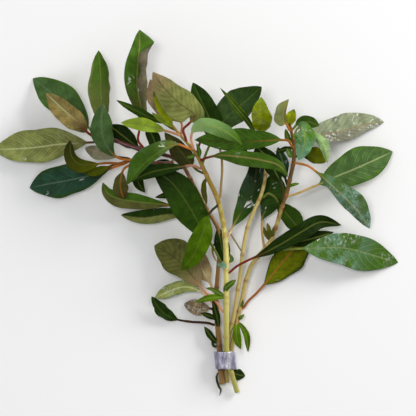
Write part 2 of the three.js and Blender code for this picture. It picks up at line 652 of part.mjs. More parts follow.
    path: [[-65.4, 117.4, 13.8], [-71.4, 115, 15], [-78, 112.7, 15.6], [-85, 113.2, 14.6]],
  },
  branch_leaf_twisted: {
    on: "branch", from: [-57.4, 119.4, 13], colour: "lime",
    left: 5.4, right: 3.2, stalk: 0.42, broad: 0.5,
    path: [
      [-60.6, 117.8, 19], [-70, 118, 21.4], [-80, 117.2, 21], [-87.4, 117.8, 21.6], [-91.6, 122.6, 22],
      [-92.4, 131.6, 21],
    ],
  },
  middle_leaf_curved: {
    on: "middle", from: [21.2, 98.4, 13.1], colour: "mid", left: 6.4, right: 5, stalk: 0.34,
    path: [
      [25.6, 99.8, 14.2], [29.6, 97.8, 12.6], [33.4, 92, 8.6], [39, 85.2, 7.4], [43.4, 80, 8.4],
      [47, 76, 10.6],
    ],
    riseLeft: 4, riseRight: 2,
  },
  middle_leaf_lime: {
    on: "middle", from: [22.6, 131.4, 19.8], colour: "lime",
    left: 6.4, right: 6, stalk: 0.2, broad: 0.44,
    path: [[22.6, 137.6, 25], [22, 142.4, 31], [21.2, 148.6, 35], [21.3, 157, 36]],
    riseLeft: 10, riseRight: 4,
  },
  middle_leaf_edge: {
    on: "middle", from: [22.9, 129, 18.9], colour: "mid", left: 1.9, right: 1.9, stalk: 0.1,
    path: [[17.8, 135.4, 24], [13.4, 142.8, 30], [5.4, 152.6, 35.4], [-3, 162.4, 37.6]],
  },
  right_leaf_large: {
    on: "right", from: [9.2, 31.8, 3.9], colour: "mid", left: 7.2, right: 10.6, stalk: 0.3, broad: 0.54,
    path: [
      [14, 35.6, 4.2], [18.6, 39.9, 4.4], [25.2, 47.4, 4.4], [33, 57, 4.4], [40.8, 66, 5],
      [52.2, 75.8, 5.4],
    ],
    riseLeft: 3, riseRight: -2,
  },
  right_leaf_wet: {
    on: "right", from: [21.4, 64, 7.6], colour: "bright", left: 9.6, right: 11.2, stalk: 0.3, broad: 0.52,
    path: [
      [25.6, 64.6, 12], [33, 66.3, 13], [45, 66.9, 12.6], [58.2, 67.5, 11.4], [72, 67.2, 9],
      [88.2, 63, 4.4], [103.8, 58.5, 0.3],
    ],
    riseLeft: 4, riseRight: 2,
  },
  right_leaf_shade: {
    on: "right", from: [27, 71, 9], colour: "dark", left: 4, right: 3.6, stalk: 0.18,
    path: [[33, 70.4, 9.2], [42, 70.8, 9], [54, 73.4, 8.6], [65, 76.8, 7.4]],
    riseLeft: 2, riseRight: 0,
  },
  right_leaf_twisted: {
    on: "right", from: [24.6, 68, 8.5], colour: "bluish", left: 5, right: 10.6, stalk: 0.32, broad: 0.6,
    path: [[22.2, 76.8, 7.8], [22.4, 85.2, 6], [24.8, 94.2, 5], [27.2, 103.2, 4.8], [30.4, 112.8, 5.4]],
    riseLeft: 2, riseRight: 2,
  },
  right_leaf_behind: {
    on: "right", from: [35.4, 96.2, 13.2], colour: "dark", left: 5.2, right: 5.2, stalk: 0.3,
    path: [
      [34.2, 103.4, 17], [31.8, 109.2, 20.4], [28.4, 115.4, 23], [24.6, 121.6, 24.6],
      [18, 128.6, 25.4],
    ],
    riseLeft: 2, riseRight: 2,
  },
  right_leaf_deep: {
    on: "right", from: [38, 105.6, 14.8], colour: "bluish", left: 4, right: 3.4, stalk: 0.12,
    path: [[35.6, 110.8, 11.4], [34.6, 118, 10.4], [31.6, 127.6, 11]],
    riseLeft: 0, riseRight: 0,
  },
  right_leaf_open: {
    on: "right", from: [36.4, 99, 13.8], colour: "dark", left: 11.4, right: 10, stalk: 0.28, broad: 0.52,
    path: [
      [43.2, 99.9, 12.6], [51, 103.2, 11.6], [58.8, 106.5, 11.4], [67.2, 110.4, 11.4],
      [76.2, 114, 10.6], [87, 118.8, 8.6], [100.4, 125, 4],
    ],
    riseLeft: 4, riseRight: 2,
  },
  right_leaf_bent: {
    on: "right", from: [41, 118.4, 17.2], colour: "bluish", left: 8, right: 4.8, stalk: 0.22, broad: 0.56,
    path: [
      [45.4, 117.4, 21], [49.4, 116.2, 24], [54.6, 112.5, 25.4], [61.8, 106.2, 25.4],
      [70.2, 98.4, 22.4], [78, 90.6, 16], [86.6, 79, 4.4],
    ],
    riseLeft: -4, riseRight: -20,
  },
  right_leaf_silver: {
    on: "right", from: [41, 126.6, 19.3], colour: "underside",
    left: 9.6, right: 6, stalk: 0.14, broad: 0.46,
    path: [
      [46.6, 129.6, 16.4], [52.8, 133, 13.6], [60, 135.3, 11], [70.2, 137.4, 8.6], [82.2, 141, 5],
      [95.4, 142.8, 0.3],
    ],
    riseLeft: 6, riseRight: 2,
  },
  right_leaf_crown: {
    on: "right", from: [40, 134, 22.2], colour: "mid", left: 6, right: 6, stalk: 0.28, broad: 0.4,
    path: [[42.6, 138, 30], [45.2, 139, 35], [47.2, 134.4, 38], [46.4, 127.2, 36], [43.6, 119.6, 30.5]],
    riseLeft: -8, riseRight: -8,
  },
  right_leaf_pale: {
    on: "right", from: [40.6, 131, 20.8], colour: "lime", left: 4.6, right: 2.2, stalk: 0.26,
    path: [[47, 133.6, 25], [53.4, 133.2, 28.6], [57.8, 128.6, 30.4], [60.8, 118, 28]],
    riseLeft: -30, riseRight: -10,
  },
  right_leaf_olive: {
    on: "right", from: [41.1, 122.4, 18.2], colour: "mid", left: 5.6, right: 4, stalk: 0.14,
    path: [[46.6, 123.4, 20.4], [52, 122.4, 20.8], [60, 118.4, 20]],
    riseLeft: 2, riseRight: 2,
  },
  right_leaf_north: {
    on: "right", from: [39, 137.8, 24], colour: "dark", left: 3.8, right: 3.8, stalk: 0.12,
    path: [[43.6, 141.6, 23], [48.4, 142.6, 22], [56, 140.6, 19]],
    riseLeft: 2, riseRight: 2,
  },
  right_leaf_ashen: {
    on: "right", from: [38.8, 138.6, 24.4], colour: "rosy",
    left: 5.8, right: 1.6, stalk: 0.26, broad: 0.3,
    path: [[36.8, 140.6, 27.8], [35.2, 142.8, 29.4], [34.8, 148.4, 30.4], [37.8, 155.8, 29]],
  },
  right_leaf_wide: {
    on: "right", from: [41, 128.6, 19.9], colour: "mid", left: 5.2, right: 8, stalk: 0.18, broad: 0.5,
    path: [
      [37.4, 131.2, 26], [33, 131.6, 30], [24, 131.2, 33.6], [10.8, 130.3, 36], [-4, 130.4, 37],
      [-18, 131.6, 35],
    ],
    riseLeft: 4, riseRight: 2,
  },
};

addPlantWeight();

for (const stem of Object.values(STEMS)) {
  addStem(stem);
}

for (const [name, leaf] of Object.entries(LEAVES)) {
  addMesh(name, leafGeometry(leaf, leafPath(leaf)), matte(leaf.colour));
}

export default group;
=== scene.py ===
"""A tied bunch of cut Ludwigia stems, lying on a pale surface and seen from straight above.

Lengths in the lists are millimetres, as the plant was measured; meshes are made in metres.
+Z is up, the stems run along +Y, and the metal strip's underside is at the origin.
"""

import math

import bpy
import numpy as np
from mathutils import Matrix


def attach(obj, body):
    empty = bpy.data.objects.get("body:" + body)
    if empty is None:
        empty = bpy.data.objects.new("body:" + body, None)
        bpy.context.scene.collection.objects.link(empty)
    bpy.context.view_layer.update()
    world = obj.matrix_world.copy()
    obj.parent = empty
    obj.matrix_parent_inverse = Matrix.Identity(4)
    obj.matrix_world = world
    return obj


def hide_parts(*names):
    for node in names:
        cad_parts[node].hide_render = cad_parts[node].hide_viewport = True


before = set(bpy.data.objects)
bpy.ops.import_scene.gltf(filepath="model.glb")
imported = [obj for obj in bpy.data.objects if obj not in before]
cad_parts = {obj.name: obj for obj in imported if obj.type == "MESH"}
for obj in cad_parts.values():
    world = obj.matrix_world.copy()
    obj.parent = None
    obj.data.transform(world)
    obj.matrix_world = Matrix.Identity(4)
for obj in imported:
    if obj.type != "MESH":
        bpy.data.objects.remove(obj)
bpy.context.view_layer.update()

# The five stems: round, fleshy, water-grown shoots, cut square at the lower end. They thicken
# into a reddish ring at each node, where a leaf comes off, and carry fine ridges lengthwise.
# Their skin is pale yellow-green to tan where it was in shade, and red where it had light.

MILLIMETRE = 0.001
STEM_SIDES = 20
STEM_SPACING = 0.7
BARK_FIT = 0.96
RIDGES = 7
RIDGE_DEPTH = 0.035
NODE_SWELLING = 0.16
NODE_LENGTH = 1.1
CUT_BEVEL = 0.82
TIP_TAPER = 0.5
TIP_REACH = 0.25
NEAR_TIP = 0.99
REDDENING_SPAN = 0.12
BASE_FADES = (0.1, 0.45)
STREAK_STRENGTH = 0.35
STREAK_SHADE_LOW, STREAK_SHADE_HIGH = 0.62, 0.55
NODE_COLOURING = (0.35, 0.5)
RIND_SHADE = 0.62
PITH_SPREAD = (0.0, 0.9)
BARK_GRAIN = 0.2

STEM_SKINS = {
    "green": dict(
        slot="stem_green", base=(162, 158, 70), low=(222, 212, 122), high=(156, 124, 14),
        node=(168, 142, 78),
    ),
    "tan": dict(
        slot="stem_tan", base=(174, 150, 72), low=(202, 183, 108), high=(114, 80, 10),
        node=(134, 78, 40),
    ),
    "red": dict(
        slot="stem_red", base=(138, 102, 46), low=(142, 102, 44), high=(84, 14, 6), node=(86, 34, 24),
    ),
    "dull red": dict(
        slot="stem_red", base=(150, 84, 58), low=(150, 84, 58), high=(132, 72, 54), node=(104, 44, 38),
    ),
}
PITH = (214, 200, 84)

STEMS = {
    "main": dict(
        piece="main_stem", skin="green", turn_red_from=0.6,
        radii=[(0, 1.5), (0.07, 1.6), (0.13, 1.8), (0.5, 1.7), (0.75, 1.4), (0.9, 1.0), (1, 0.7)],
        nodes=[
            0.07, 0.2, 0.32, 0.34, 0.435, 0.46, 0.55, 0.655, 0.69, 0.775, 0.81, 0.86, 0.885, 0.93, 0.96,
        ],
        route=[
            (7.2, -19.2, 2.6), (3.7, -7.2, 5.6), (1.5, 0, 6.6), (0.9, 5.4, 6.8), (0.7, 18, 9),
            (0.7, 36, 12), (0.6, 54, 15.2), (0.5, 66, 17.2), (-0.6, 78, 19.2), (-2.6, 88.8, 21),
            (-4.8, 97.2, 23), (-9, 106.2, 25), (-13.2, 115.2, 27), (-15.9, 121, 28.2),
            (-19.2, 126, 29.6), (-24, 131.6, 31.2), (-28.2, 136.4, 33), (-32.4, 141.6, 35.4),
        ],
    ),
    "left": dict(
        piece="left_stem", skin="red", turn_red_from=0.72,
        radii=[(0, 1.8), (0.2, 1.6), (0.4, 1.25), (0.9, 1.25), (1, 1.1)],
        nodes=[0.045, 0.12, 0.19, 0.25, 0.3, 0.42, 0.53, 0.57, 0.66, 0.72, 0.8, 0.86, 0.93, 0.985],
        route=[
            (-1.7, -14.4, 2.9), (-3.1, 0, 3.1), (-3.6, 9, 3.3), (-4.5, 21, 4), (-5.1, 33, 5.2),
            (-4.9, 45, 7), (-4, 57, 9), (-3.2, 69, 11), (-4, 78, 12), (-10, 88.8, 13),
            (-14.4, 96.6, 14), (-18, 103.2, 14.5), (-21.6, 110.4, 15), (-25.2, 116.4, 15.5),
            (-30.6, 121, 16), (-39, 123.5, 16), (-46.2, 124.8, 15.5), (-52.2, 126.6, 15),
            (-60, 129.3, 14.5), (-67.8, 132, 14), (-75, 132.6, 13), (-78.6, 132.3, 12.5),
        ],
    ),
    "branch": dict(
        piece="left_branch", skin="dull red", turn_red_from=0.5,
        radii=[(0, 1.0), (1, 0.9)],
        nodes=[0.3, 0.66, 0.9, 0.985],
        route=[
            (-31.2, 119.4, 15.2), (-32.2, 118.3, 14.2), (-40, 118.2, 13.8), (-50, 118.9, 13.4),
            (-57, 119.4, 13.1), (-59.8, 118.8, 12.8),
        ],
    ),
    "middle": dict(
        piece="middle_stem", skin="tan", turn_red_from=0.85,
        radii=[(0, 1.3), (0.5, 1.2), (0.85, 1.1), (1, 0.8)],
        nodes=[0.09, 0.24, 0.38, 0.52, 0.63, 0.75, 0.86, 0.96],
        route=[
            (1.3, -13.5, 1.7), (0.3, 0, 2.5), (1.5, 10, 3.6), (3.2, 18, 4.6), (5.2, 27, 5.6),
            (7, 38, 6.6), (8.8, 50, 7.6), (10, 60, 8.8), (11, 68, 9.8), (13.5, 80, 11.2),
            (17.5, 90, 12.4), (21.5, 99, 13.2), (23.7, 108, 14), (24.2, 116, 15), (23.5, 124, 17),
            (22.5, 132, 20),
        ],
    ),
    "right": dict(
        piece="right_stem", skin="tan", turn_red_from=0.6,
        radii=[(0, 1.25), (0.12, 1.4), (0.5, 1.4), (0.85, 1.3), (1, 0.9)],
        nodes=[
            0.05, 0.175, 0.19, 0.23, 0.35, 0.45, 0.5, 0.58, 0.665, 0.71, 0.77, 0.83, 0.88, 0.93, 0.97,
        ],
        route=[
            (3.7, -6.8, 2.25), (3.3, 0, 2.7), (3.9, 8, 2.8), (6.2, 18, 3.2), (8.2, 28, 3.6),
            (10.3, 37, 4.4), (12.6, 48, 5.4), (16, 57, 6.4), (20.5, 63, 7.4), (27, 71, 9),
            (30.5, 80, 10.6), (34, 92, 12.5), (37, 101, 14), (39, 110, 15.5), (41, 120, 17.5),
            (41, 129, 20), (39.5, 136, 23), (38, 142, 26),
        ],
    ),
}


class Route:
    """A smooth line through chosen points, read at any share of its length."""

    STEPS_BETWEEN = 40
    LOOK_AROUND = 0.006

    def __init__(self, points):
        p = np.array(points, float)
        p = np.vstack([2 * p[0] - p[1], p, 2 * p[-1] - p[-2]])
        t = np.linspace(0, 1, self.STEPS_BETWEEN, endpoint=False)[:, None]
        runs = []
        for a, b, c, d in zip(p, p[1:], p[2:], p[3:]):
            before, during, after = (math.sqrt(np.linalg.norm(v)) for v in (b - a, c - b, d - c))
            leave = ((b - a) / before - (c - a) / (before + during) + (c - b) / during) * during
            arrive = ((c - b) / during - (d - b) / (during + after) + (d - c) / after) * during
            bend = -3 * b + 3 * c - 2 * leave - arrive
            twist = 2 * b - 2 * c + leave + arrive
            runs.append(b + leave * t + bend * t**2 + twist * t**3)
        self.points = np.vstack([*runs, p[-2:-1]])
        steps = np.linalg.norm(np.diff(self.points, axis=0), axis=1)
        self.reach = np.concatenate([[0], np.cumsum(steps)])
        self.length = self.reach[-1]

    def at(self, share):
        """The points of the line at each share."""
        run = np.asarray(share, float) * self.length
        return np.stack([np.interp(run, self.reach, axis) for axis in self.points.T], -1)

    def axes(self, share):
        """Directions ahead, to the right and up at each share."""
        share = np.asarray(share, float)
        after = self.at(np.clip(share + self.LOOK_AROUND, 0, 1))
        ahead = after - self.at(np.clip(share - self.LOOK_AROUND, 0, 1))
        ahead /= np.linalg.norm(ahead, axis=-1, keepdims=True)
        right = np.cross(ahead, (0, 0, 1))
        right /= np.linalg.norm(right, axis=-1, keepdims=True)
        return ahead, right, np.cross(right, ahead)


def mesh_piece(name, points, faces, marks):
    """A smooth mesh, from points in millimetres, with a number per point for each mark."""
    mesh = bpy.data.meshes.new(name)
    mesh.from_pydata(np.asarray(points) * MILLIMETRE, [], faces)
    mesh.shade_smooth()
    for mark, values in marks.items():
        layer = mesh.attributes.new(mark, "FLOAT", "POINT")
        layer.data.foreach_set("value", np.asarray(values, np.float32).ravel())
    mesh.update()
    piece = bpy.data.objects.new(name, mesh)
    bpy.context.scene.collection.objects.link(piece)
    return piece


def linear(colour, shade=1.0):
    """A colour as a shader takes it, from its 0 to 255 values as seen."""
    parts = [c / 255 for c in colour]
    return [*(shade * (c / 12.92 if c <= 0.04045 else ((c + 0.055) / 1.055) ** 2.4) for c in parts), 1]


class Wire:
    """One socket of a shader. Sums with it add Math nodes, and add() makes any other node."""

    def __init__(self, tree, socket=None):
        self.tree = tree
        self.socket = socket

    def add(self, kind, settings=None, sockets=None, output=0):
        """A node of a kind, its settings and the values or wires of its sockets."""
        node = self.tree.nodes.new("ShaderNode" + kind)
        for name, value in (settings or {}).items():
            setattr(node, name, value)
        for name, value in (sockets or {}).items():
            if isinstance(value, Wire):
                self.tree.links.new(value.socket, node.inputs[name])
            else:
                node.inputs[name].default_value = value
        return Wire(self.tree, node.outputs[output] if node.outputs else None)

    def maths(self, operation, *values):
        return self.add("Math", {"operation": operation}, dict(enumerate(values)))

    def __add__(self, other):
        return self.maths("ADD", self, other)

    def __sub__(self, other):
        return self.maths("SUBTRACT", self, other)

    def __rsub__(self, other):
        return self.maths("SUBTRACT", other, self)

    def __mul__(self, other):
        return self.maths("MULTIPLY", self, other)

    def __pow__(self, other):
        return self.maths("POWER", self, other)

    __radd__ = __add__
    __rmul__ = __mul__

    def rise(self, low, high):
        """0 below low, 1 above high and a soft step between; low may be the larger one."""
        ends = {"Value": self, "From Min": low, "From Max": high}
        return self.add("MapRange", {"interpolation_type": "SMOOTHSTEP"}, ends)

    def mix(self, first, second):
        """The first colour where this is 0, the second where it is 1."""
        return self.add("Mix", {"data_type": "RGBA"}, {0: self, 6: first, 7: second}, output=2)

    def mark(self, name):
        """A number that the mesh carries at each point."""
        return self.add("Attribute", {"attribute_name": name}, output=2)

    def noise(self, scale, detail=2.0, stretch=(1, 1, 1)):
        """Clouds that stay with the piece, scale of them to a metre."""
        place = self.add("TexCoord", output=3)
        place = self.add("VectorMath", {"operation": "MULTIPLY"}, {0: place, 1: stretch})
        return self.add("TexNoise", {}, {"Vector": place, "Scale": scale, "Detail": detail})


def new_material(name):
    """An empty material and a wire that draws in it."""
    material = bpy.data.materials.new(name)
    material.use_nodes = True
    material.node_tree.nodes.clear()
    return material, Wire(material.node_tree)


def finish_material(wire, looks):
    """Ends a material with one surface shader."""
    surface = wire.add("BsdfPrincipled", {}, looks)
    wire.add("OutputMaterial", {}, {"Surface": surface})


def stem_material(name, skin, turn_red_from):
    """Streaked bark that reddens along the stem and at its nodes, and a pale ringed cut."""
    material, wire = new_material(name)
    along = wire.mark("along")
    blotches = wire.noise(scale=260, detail=3).rise(0.35, 0.65)
    streaks = wire.noise(scale=900, detail=2, stretch=(1, 0.12, 1)).rise(0.3, 0.7)
    reddening = along + (blotches - 0.5) * REDDENING_SPAN
    reddening = reddening.rise(turn_red_from - REDDENING_SPAN, turn_red_from + REDDENING_SPAN)
    paling = along.rise(*BASE_FADES).mix(linear(skin["base"]), linear(skin["low"]))
    colour = reddening.mix(paling, linear(skin["high"]))
    low_streak, high_streak = linear(skin["low"], STREAK_SHADE_LOW), linear(skin["high"], STREAK_SHADE_HIGH)
    streaked = reddening.mix(low_streak, high_streak)
    colour = (streaks * STREAK_STRENGTH).mix(colour, streaked)
    least, blotched = NODE_COLOURING
    at_node = wire.mark("node") * (least + blotches * blotched)
    colour = at_node.mix(colour, linear(skin["node"]))
    cut_face = wire.mark("cut").rise(*PITH_SPREAD).mix(linear(PITH, RIND_SHADE), linear(PITH))
    colour = wire.mark("end").rise(0.4, 0.6).mix(colour, cut_face)
    grain = wire.noise(scale=1400, detail=3, stretch=(1, 0.3, 1))
    bump = wire.add("Bump", {}, {"Strength": 0.25, "Distance": BARK_GRAIN * MILLIMETRE, "Height": grain})
    finish_material(wire, {
        "Base Color": colour,
        "Roughness": 0.32 + blotches * 0.16,
        "Coat Weight": 1.0,
        "Coat Roughness": 0.24,
        "Specular IOR Level": 0.12,
        "Normal": bump,
    })
    return material


def stem_mesh(stem, route):
    """A ribbed tube that swells at its nodes, closed by a flat cut face and a rounded tip."""
    count = round(route.length / STEM_SPACING)
    along = np.linspace(0, 1, count + 1)
    turn = np.linspace(0, 2 * np.pi, STEM_SIDES, endpoint=False)
    node = np.zeros_like(along)
    for place in stem["nodes"]:
        node = np.maximum(node, np.exp(-(((along - place) * route.length / NODE_LENGTH) ** 2)))
    radius = np.interp(along, *zip(*stem["radii"])) * (1 + NODE_SWELLING * node) * BARK_FIT
    ridges = 1 + RIDGE_DEPTH * np.cos(RIDGES * turn)[None, :] * (1 - node[:, None])
    _, right, up = route.axes(along)
    ring = np.cos(turn)[None, :, None] * right[:, None] + np.sin(turn)[None, :, None] * up[:, None]
    points = route.at(along)[:, None] + ring * (radius[:, None] * ridges)[..., None]
    start, end = route.at(0), route.at(1)
    cut = start + (points[0] - start) * CUT_BEVEL
    tip = end + (points[-1] - end) * TIP_TAPER
    tip += (route.at(1) - route.at(NEAR_TIP)) * TIP_REACH
    last = count * STEM_SIDES
    cut_at, tip_at = last + STEM_SIDES, last + 2 * STEM_SIDES
    cut_middle = tip_at + STEM_SIDES
    tip_middle = cut_middle + 1
    faces = []
    for near in range(0, last, STEM_SIDES):
        far = near + STEM_SIDES
        for j in range(STEM_SIDES):
            k = (j + 1) % STEM_SIDES
            faces.append((near + j, near + k, far + k, far + j))
    for j in range(STEM_SIDES):
        k = (j + 1) % STEM_SIDES
        faces.append((k, j, cut_at + j, cut_at + k))
        faces.append((cut_at + k, cut_at + j, cut_middle))
        faces.append((last + j, last + k, tip_at + k, tip_at + j))
        faces.append((tip_at + j, tip_at + k, tip_middle))
    points = np.vstack([points.reshape(-1, 3), cut, tip, [start], [tip.mean(axis=0)]])
    bark = np.zeros(last + STEM_SIDES)
    none, full = np.zeros(STEM_SIDES), np.ones(STEM_SIDES)
    marks = {
        "along": np.concatenate([np.repeat(along, STEM_SIDES), none, full, [0, 1]]),
        "node": np.concatenate([np.repeat(node, STEM_SIDES), none, none, [0, 0]]),
        "end": np.concatenate([bark, full, none, [1, 0]]),
        "cut": np.concatenate([bark, none, none, [1, 0]]),
    }
    return mesh_piece(stem["piece"] + "_bark", points, faces, marks)


for stem in STEMS.values():
    stem["line"] = Route(stem["route"])
    skin = STEM_SKINS[stem["skin"]]
    bark = stem_mesh(stem, stem["line"])
    bark.data.materials.append(stem_material(stem["piece"] + "_skin", skin, stem["turn_red_from"]))
    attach(bark, "root")
    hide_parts(stem["piece"])

# The leaves of the main stem: thin blades on short round stalks, deep green above and pale olive
# below. A midrib stands out on the underside, side veins arch from it to the margin, and the
# margin is slightly wavy. The plant is fresh from the water, so parts of each blade shine; some also
# carry a painted bluish sheen and painted white glints in their colour, standing for reflections.

STATIONS = 84
COLUMNS = 13
COLUMN_SPREAD = 1.1
LAST_COLUMN = 0.965
BLADE_THICKNESS = 0.24
BLADE_FULLNESS = 0.85
UNEVENNESS = 0.05
WIDTH_WAVES = (1.6, 2.6)
STALK_HALF_WIDTH = 0.72
STALK_FLATNESS = 0.8
STALK_TAPER, TAPER_FROM = 0.86, 0.35
STALK_INTO_BLADE, TILT_INTO_BLADE, ROLL_INTO_BLADE = 4, 2, 1.6
RIB_HEIGHT = 0.42
RIB_HALF_WIDTH = 0.5
RIB_TAPER = 0.75
RIB_GROOVE = 0.25
QUILTING, QUILT_FULLNESS = 0.09, 0.7
SIDE_VEINS = 11
VEIN_SWEEP, VEIN_CURVE = 0.22, 1.2
MARGIN_WAVE, MARGIN_SHARPNESS = 0.07, 2.2
LONG_WAVES, SHORT_WAVES = (2.2, 3.6), (5, 7)
SHORT_WAVE_SHARE = 0.5
ROLL_FADE = 0.16
ROLL_TIGHTENING = 1.5
STALK_CLEARANCE = 0.8
SEATS_TRIED = 401
STALK_SLANT = 0.45
LONGEST_SLANT = 2.4
ROOT_STEPS = (1.0, 0.5)
FLOOR_GAP = 0.04
# Each leaf colour is mixed between a darker and a lighter copy of itself, by random mottle and by painted
# shade along the side veins.
DARK_SHARE, LIGHT_SHARE = 0.68, 1.38
FACES_MEET = (0.3, 0.7)
VEIN_LINE = (0.08, 0.0)
VEIN_STARTS, VEIN_ENDS = (0.0, 0.06), (1.0, 0.75)
MIDRIB_SIDES, MIDRIB_ENDS = (0.62, 0.28), (1.05, 0.8)
STALK_ENDS = (0.02, -0.03)
LEFT_SPAN, EDGE_SPAN = (0.05, -0.12), (0.72, 0.98)
TIP_STRENGTH, BASE_STRENGTH, EDGE_STRENGTH = 0.9, 0.85, 0.8
RAGGEDNESS, EDGE_RAGGEDNESS = 0.2, 0.25
SHEEN_FADE = 0.4
FILM_FROM, FILM_TO, FILM_SPREAD = 0.66, 0.76, 0.18
FILM_COAT = 0.8
DRY_ROUGHNESS, FILM_GLOSS, GRAIN_ROUGHNESS = 0.42, 0.18, 0.08
GRAIN_RELIEF, VEIN_RELIEF, SWELL_RELIEF = 0.35, -0.5, 1.1
LEAF_RELIEF = 0.25

LEAF_COLOURS = {
    "black green": (16, 28, 12), "shadow green": (22, 40, 6), "deep green": (34, 58, 14),
    "green": (48, 78, 14), "leaf green": (60, 92, 24), "bright green": (72, 104, 4),
    "lime": (128, 152, 44), "yellow green": (116, 128, 8), "bright yellow": (142, 154, 14),
    "olive": (112, 118, 62), "dull olive": (82, 84, 40), "tan": (134, 118, 66), "rosy": (138, 118, 86),
    "grey brown": (86, 80, 64), "brown": (66, 50, 22), "dark brown": (44, 36, 16),
    "silver": (148, 148, 124), "dull silver": (122, 120, 98), "ashen": (156, 166, 130),
    "blue green": (92, 136, 108), "dark blue green": (30, 56, 40), "grey green": (62, 88, 44),
    "pale green": (128, 158, 100),
}
# Painted reflection: the bluish sheen of sky reflected in the wet film, put into the base colour.
SHEEN = (122, 160, 144)
# Painted highlight: the white of glints on wet leaves, put into the base colour.
GLINT = (214, 222, 212)
STALK_COLOURS = {
    "green": (116, 128, 56), "pale": (172, 178, 128), "pink": (192, 136, 104), "red": (128, 52, 36),
    "orange": (186, 116, 54), "tan": (166, 140, 88), "brown": (72, 50, 32), "dark": (54, 58, 26),
    "grey": (96, 112, 92),
}


def blade_width(share, broad):
    """The outline of a blade: 0 at both ends, 1 where it is broadest."""
    even = np.clip(share, 0, 1) ** (math.log(0.5) / math.log(broad))
    return np.maximum(4 * even * (1 - even), 0) ** BLADE_FULLNESS


def leaf_route(stem, node, midrib):
    """A leaf's line, from just clear of the bark to the tip, and where its stalk is rooted."""
    line = stem["line"]
    shares = np.linspace(0, 1, SEATS_TRIED)
    seat = shares[np.argmin(np.linalg.norm(line.at(shares) - node, axis=1))]
    centre, ahead = line.at(seat), line.axes(seat)[0]
    outward = np.subtract(midrib[0], centre)
    climb = outward @ ahead
    outward -= climb * ahead
    outward /= np.linalg.norm(outward)
    start = centre + outward * (np.interp(seat, *zip(*stem["radii"])) + STALK_CLEARANCE)
    slant = np.clip(climb * STALK_SLANT, -LONGEST_SLANT, LONGEST_SLANT)
    return Route([start, *midrib]), centre - ahead * slant


def wandering(chance, share, waves):
    """A wave along a leaf, with its start and the number of its waves left to chance."""
    return np.sin(2 * np.pi * (share * chance.uniform(*waves) + chance.random()))


def half_section(width, rise, roll, across):
    """Runs of points from the midrib to one margin: how far across, how high, and their lean."""
    between = (across[1:] + across[:-1]) / 2
    angle = np.radians(rise[:, None] + roll[:, None] * between**ROLL_TIGHTENING)
    step = width[:, None] * np.diff(across)
    start = np.zeros((len(width), 1))
    out = np.hstack([start, np.cumsum(np.cos(angle) * step, axis=1)])
    high = np.hstack([start, np.cumsum(np.sin(angle) * step, axis=1)])
    lean = np.radians(rise[:, None] + roll[:, None] * across**ROLL_TIGHTENING)
    return out, high, lean


def half_relief(chance, share, blade, wavy_width, across):
    """How far the wavy margin and the quilting between the side veins lift one half."""
    wave = wandering(chance, share, LONG_WAVES)
    wave += SHORT_WAVE_SHARE * wandering(chance, share, SHORT_WAVES)
    lift = (wavy_width * blade * wave)[:, None] * across**MARGIN_SHARPNESS
    vein = (share[:, None] - VEIN_SWEEP * across**VEIN_CURVE) * SIDE_VEINS
    quilts = QUILTING * np.cos(2 * np.pi * vein) * (blade**0.5)[:, None]
    return lift + quilts * np.sin(np.pi * across) ** QUILT_FULLNESS


def half_thickness(share, width, narrow, on_stalk, across):
    """How far the upper and the lower skin of one half stand off its middle."""
    flat = BLADE_THICKNESS / 2 * (1 - across**4)
    rib = RIB_HEIGHT * (1 - RIB_TAPER * np.clip(share, 0, 1))[:, None]
    rib = rib * np.exp(-((width[:, None] * across / RIB_HALF_WIDTH) ** 2))
    stalk = STALK_FLATNESS * narrow[:, None] * np.sqrt(1 - across**2) * on_stalk[:, None]
    on_blade = 1 - on_stalk[:, None]
    return (flat - RIB_GROOVE * rib) * on_blade + stalk, (flat + rib) * on_blade + stalk


def closed_skin(rows, wide):
    """The faces of an upper and a lower sheet that share their margins, closed at both ends."""
    grid = np.arange(rows * wide).reshape(rows, wide)
    inner = rows * wide + np.arange(rows * (wide - 2)).reshape(rows, wide - 2)
    below = np.concatenate([grid[:, :1], inner, grid[:, -1:]], axis=1)
    faces = []
    for sheet, order in ((grid, (0, 1, 2, 3)), (below, (3, 2, 1, 0))):
        corners = (sheet[:-1, :-1], sheet[:-1, 1:], sheet[1:, 1:], sheet[1:, :-1])
        faces += np.stack([corners[k].ravel() for k in order], axis=1).tolist()
    faces.append([*grid[0][::-1], *inner[0]])
    faces.append([*grid[-1], *inner[-1][::-1]])
    return faces


